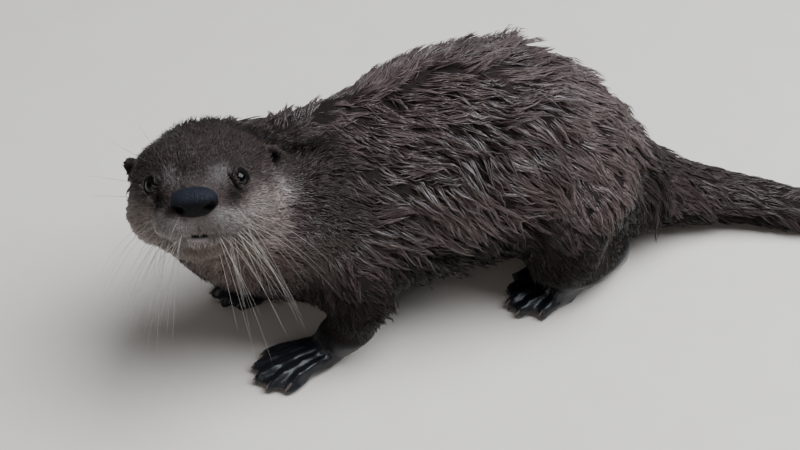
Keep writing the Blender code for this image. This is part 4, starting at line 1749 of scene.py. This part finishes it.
def grain_group() -> bpy.types.NodeTree:
    """The pebbled grain of bare skin, as a height and a mask.

    Returns:
        The group: inputs Scale, Depth; outputs Height and Mask.
    """
    made = group_of("skin_grain", {"Scale": ("Float", 900.0), "Depth": ("Float", 1.0)},
                    {"Height": "Float", "Mask": "Float"})
    if made is None:
        return bpy.data.node_groups["skin_grain"]
    tree, start, end = made
    wire = Wiring(tree)
    place = wire.place()
    bend = wire.node("TexNoise", Vector=place, Scale=260.0, Detail=3.0)
    moved = wire.node("VectorMath", {"operation": "MULTIPLY_ADD"}, i0=bend.outputs["Color"],
                      i1=(0.0012, 0.0012, 0.0012), i2=place)
    cells = wire.node("TexVoronoi", {"feature": "F1"}, Vector=moved.outputs[0],
                      Scale=start.outputs["Scale"])
    creases = wire.node("TexNoise", Vector=place, Scale=420.0, Detail=4.0, Roughness=0.65)
    both = wire.maths("ADD", wire.times(cells.outputs["Distance"], -0.7), creases.outputs[0])
    wire.join(wire.times(both, start.outputs["Depth"]), end.inputs["Height"])
    wire.join(creases.outputs[0], end.inputs["Mask"])
    return tree


@dataclass(frozen=True)
class Finish:
    """A finish: its name and the numbers that stay the same over the surface."""

    name: str = "finish"
    roughness: float = 0.5
    specular: float = 0.5
    coat_roughness: float = 0.1

    def material(self) -> bpy.types.Material:
        """The material, made on first use.

        Returns:
            The material with this finish's name.
        """
        if self.name in bpy.data.materials:
            return bpy.data.materials[self.name]
        made = bpy.data.materials.new(self.name)
        made.use_nodes = True
        shader = made.node_tree.nodes["Principled BSDF"].inputs
        shader["Roughness"].default_value = self.roughness
        shader["Specular IOR Level"].default_value = self.specular
        shader["Coat Roughness"].default_value = self.coat_roughness
        self.dress(Wiring(made.node_tree), shader)
        return made

    def dress(self, wire: Wiring, shader: bpy.types.NodeInputs) -> None:
        """Adds the nodes that vary over the surface.

        Args:
            wire: the material's tree.
            shader: the inputs of its shader.
        """


@dataclass(frozen=True)
class CoatFinish(Finish):
    """Wet guard hair: dark brown, streaked along the lock and glossy in patches."""

    name: str = "wet_coat"
    specular: float = 0.15
    coat_roughness: float = 0.24
    streaks: tuple = (2.8, 0.09, 1.0)

    def dress(self, wire: Wiring, shader: bpy.types.NodeInputs) -> None:
        """Colour from the marks and the strand, streaks from the lay, and patchy gloss.

        Args:
            wire: the material's tree.
            shader: the inputs of its shader.
        """
        marks = wire.attribute("marks")
        tone, tip, _, _ = wire.attribute("strand")
        lay = wire.node("UVMap", {"uv_map": "lay"}).outputs[0]
        streak = wire.noise(1.0, 2.0, wire.stretched(lay, self.streaks))
        tone = wire.maths("ADD", tone, wire.times(wire.maths("SUBTRACT", streak, 0.5), 2.6))
        wire.join(wire.pigment(*marks, tone, tip), shader["Base Color"])
        wet = wire.noise(32.0, 2.0)
        wire.join(wire.remap(wet, 0.38, 0.62, 0.26, 0.50), shader["Roughness"])
        plain = wire.maths("SUBTRACT", 1.0, wire.times(marks[3], 0.95))
        film = wire.times(wire.remap(wet, 0.40, 0.58, 0.95, 0.22), plain)
        wire.join(film, shader["Coat Weight"])
        wire.bump(streak, 0.0005, 0.6, shader)


@dataclass(frozen=True)
class HideFinish(Finish):
    """The skin: coat-coloured and darkened by painted shade under the coat, bare and black on the
    feet.
    """

    name: str = "hide"
    specular: float = 0.12
    coat_roughness: float = 0.25
    streaks: tuple = (1.0, 0.16, 0.75)
    # painted shade: the near black that the skin under the coat is mixed towards
    under: tuple = (0.0085, 0.0055, 0.0047, 1)
    sole: tuple = (0.004, 0.004, 0.005, 1)
    toe: tuple = (0.015, 0.015, 0.018, 1)
    rim: tuple = (0.003, 0.0025, 0.0025, 1)

    def dress(self, wire: Wiring, shader: bpy.types.NodeInputs) -> None:
        """Colour from the marks, darkened by painted shade between the locks, and black pebbled
        skin where it is bare.

        Args:
            wire: the material's tree.
            shader: the inputs of its shader.
        """
        marks = wire.attribute("marks")
        bare, dark, head, gloss = wire.attribute("cover")
        streak = wire.noise(1300.0, 3.0, wire.place(self.streaks))
        colour = wire.pigment(*marks, wire.remap(streak, 0.3, 0.7, -1.0, 0.4), 0.25)
        # painted shade between the locks: much on the body, less on the head
        colour = wire.mix(wire.remap(head, 0.2, 0.8, 0.86, 0.35), colour, self.under)
        grain = wire.grain(1100.0, 0.45)
        colour = wire.mix(bare, colour, wire.mix(grain["Mask"], self.sole, self.toe))
        wire.join(wire.mix(dark, colour, self.rim), shader["Base Color"])
        wire.join(wire.times(gloss, 0.45), shader["Coat Weight"])
        rough = wire.remap(gloss, 0.0, 1.0, 0.75, 0.34)
        rough = wire.maths("ADD", rough, wire.times(grain["Mask"], 0.12))
        wire.join(rough, shader["Roughness"])
        height = wire.node("Mix", {"data_type": "FLOAT"}, i0=gloss, i2=wire.times(streak, 0.6),
                           i3=grain["Height"])
        wire.bump(height.outputs[0], 0.0008, 0.7, shader)


@dataclass(frozen=True)
class BareFinish(Finish):
    """Wet black skin, as on the eyelids."""

    name: str = "lid_skin"
    roughness: float = 0.60
    specular: float = 0.06
    deep: tuple = (0.002, 0.002, 0.0025, 1)
    light: tuple = (0.006, 0.005, 0.005, 1)

    def dress(self, wire: Wiring, shader: bpy.types.NodeInputs) -> None:
        """Near black with a fine grain.

        Args:
            wire: the material's tree.
            shader: the inputs of its shader.
        """
        grain = wire.grain(1800.0, 0.6)
        wire.join(wire.mix(grain["Mask"], self.deep, self.light), shader["Base Color"])
        wire.bump(grain["Height"], 0.0003, 0.4, shader)


@dataclass(frozen=True)
class NoseFinish(Finish):
    """Nose leather: near black, with a bluish top that is a painted sky reflection, and black
    nostrils.
    """

    name: str = "slate_leather"
    roughness: float = 0.42
    specular: float = 0.07
    front: tuple = (0.0030, 0.0031, 0.0035, 1)
    # painted reflection: the bluish sky on the upper pad
    top: tuple = (0.0190, 0.0200, 0.0280, 1)
    crease: tuple = (0.005, 0.005, 0.0065, 1)
    # the nostrils' dark lining, and the painted shade in them
    nostril: tuple = (0.0015, 0.0012, 0.0012, 1)

    def dress(self, wire: Wiring, shader: bpy.types.NodeInputs) -> None:
        """A painted slate-blue sky reflection on top, near black in front and in the nostrils,
        pebbled all over.

        Args:
            wire: the material's tree.
            shader: the inputs of its shader.
        """
        hole, top, _, _ = wire.attribute("pad")
        grain = wire.grain(1250.0, 1.0)
        # painted reflection: the upper pad lighter and bluer than the front
        colour = wire.mix(top, self.front, self.top)
        colour = wire.mix(wire.times(grain["Mask"], 0.5), colour, self.crease)
        wire.join(wire.mix(hole, colour, self.nostril), shader["Base Color"])
        wire.bump(grain["Height"], 0.0006, 0.8, shader)


@dataclass(frozen=True)
class EyeFinish(Finish):
    """A dark brown iris under a very clear cornea."""

    name: str = "eye_gloss"
    roughness: float = 0.05
    specular: float = 0.22
    black: tuple = (0.0008, 0.0008, 0.0008, 1)
    white: tuple = (0.002, 0.0018, 0.0018, 1)
    iris_deep: tuple = (0.002, 0.0012, 0.0008, 1)
    iris_light: tuple = (0.007, 0.0036, 0.002, 1)

    def dress(self, wire: Wiring, shader: bpy.types.NodeInputs) -> None:
        """Black pupil, deep brown flecked iris and dark white.

        Args:
            wire: the material's tree.
            shader: the inputs of its shader.
        """
        pupil, iris, _, _ = wire.attribute("gaze")
        brown = wire.mix(wire.noise(1500.0, 3.0), self.iris_deep, self.iris_light)
        colour = wire.mix(iris, self.white, brown)
        wire.join(wire.mix(pupil, colour, self.black), shader["Base Color"])


@dataclass(frozen=True)
class ClawFinish(Finish):
    """Pale pinkish horn, darker at the root."""

    name: str = "pale_horn"
    roughness: float = 0.38
    root: tuple = (0.030, 0.022, 0.020, 1)
    dull: tuple = (0.09, 0.066, 0.060, 1)
    pale: tuple = (0.20, 0.145, 0.130, 1)

    def dress(self, wire: Wiring, shader: bpy.types.NodeInputs) -> None:
        """Horn that goes from brown at the root to pale, with fine streaks.

        Args:
            wire: the material's tree.
            shader: the inputs of its shader.
        """
        along, _, _, _ = wire.attribute("strand")
        streak = wire.noise(1600.0, 3.0)
        horn = wire.mix(streak, self.dull, self.pale)
        wire.join(wire.mix(wire.maths("POWER", along, 1.3), self.root, horn), shader["Base Color"])
        wire.bump(streak, 0.0002, 0.3, shader)


@dataclass(frozen=True)
class MottledFinish(Finish):
    """Two close colours in soft patches: whiskers, and the floor."""

    first: tuple = (0.294, 0.2625, 0.238, 1)
    second: tuple = (0.42, 0.375, 0.34, 1)
    scale: float = 60.0
    detail: float = 1.0

    def dress(self, wire: Wiring, shader: bpy.types.NodeInputs) -> None:
        """Mixes the two colours by slow noise."""
        slow = wire.noise(self.scale, self.detail)
        wire.join(wire.mix(slow, self.first, self.second), shader["Base Color"])


PALE_WHISKER = MottledFinish("whisker_pale", roughness=0.36)
DARK_WHISKER = MottledFinish("whisker_dark", roughness=0.36, first=(0.042, 0.035, 0.035, 1),
                             second=(0.06, 0.05, 0.05, 1))
PALE_FLOOR = MottledFinish("pale_floor", roughness=0.85, specular=0.2, scale=30.0, detail=2.0,
                           first=(0.73, 0.655, 0.585, 1), second=(0.79, 0.715, 0.645, 1))


# ---------------- the studio
@dataclass(frozen=True)
class Lamp:
    """A square area light that faces the animal: metres, watts and a colour."""

    name: str
    place: tuple
    size: float
    power: float
    colour: tuple


LAMPS = (Lamp("sky", (0.42, 0.50, 1.60), 1.5, 70.0, (0.84, 0.92, 1.0)),
         Lamp("window", (1.1, -1.2, 1.0), 0.8, 3.0, (1.0, 0.96, 0.92)))


@dataclass
class Studio:
    """The floor, the soft lights and the camera, in metres."""

    azimuth: float = math.radians(65)
    elevation: float = math.radians(40)
    distance: float = 1.150
    lens: float = 90.54
    target: tuple = (-0.0055, -0.1134, 0.060)
    floor_half: float = 6.0
    world_colour: tuple = (0.80, 0.85, 0.92, 1)
    world_strength: float = 0.12

    def stand(self, name: str, data: bpy.types.ID, place: Vector) -> bpy.types.Object:
        """Sets a light or a camera where it looks at the target.

        Args:
            name: its name.
            data: the light or the camera.
            place: where it stands.

        Returns:
            Its object.
        """
        holder = bpy.data.objects.new(name, data)
        holder.location = place
        holder.rotation_euler = (Vector(self.target) - place).to_track_quat("-Z", "Y").to_euler()
        bpy.context.scene.collection.objects.link(holder)
        return holder

    def build(self) -> None:
        """Makes the floor, a sky-like top light, a fill, and the camera."""
        side = self.floor_half
        corners = np.array([(-side, -side, 0), (side, -side, 0), (side, side, 0), (-side, side, 0)])
        mesh = make_mesh("floor", corners / MM, np.arange(4), np.array([4]))
        floor = bpy.data.objects.new("floor", mesh)
        mesh.materials.append(PALE_FLOOR.material())
        bpy.context.scene.collection.objects.link(floor)
        for lamp in LAMPS:
            light = bpy.data.lights.new(lamp.name, "AREA")
            light.shape, light.size = "SQUARE", lamp.size
            light.energy, light.color = lamp.power, lamp.colour
            self.stand(lamp.name, light, Vector(lamp.place))
        world = bpy.data.worlds.new("studio")
        world.use_nodes = True
        background = world.node_tree.nodes["Background"].inputs
        background[0].default_value = self.world_colour
        background[1].default_value = self.world_strength
        bpy.context.scene.world = world
        lens = bpy.data.cameras.new("camera")
        lens.lens = self.lens
        lens.clip_start, lens.clip_end = 0.01, 50
        back = Vector((math.sin(self.azimuth) * math.cos(self.elevation),
                       -math.cos(self.azimuth) * math.cos(self.elevation),
                       math.sin(self.elevation)))
        place = Vector(self.target) + back * self.distance
        bpy.context.scene.camera = self.stand("camera", lens, place)


def main() -> None:
    """Builds the animal piece by piece, then the studio."""
    logging.basicConfig(level=logging.INFO, format="%(message)s")
    axes = HeadAxes()
    skin = Skin(axes)
    skin.build()
    Coat(skin, axes).build()
    Eyes(axes).build()
    Nose(axes).build()
    Whiskers(axes, skin).build()
    Claws().build()
    Studio().build()
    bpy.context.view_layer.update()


if __name__ == "__main__":
    main()
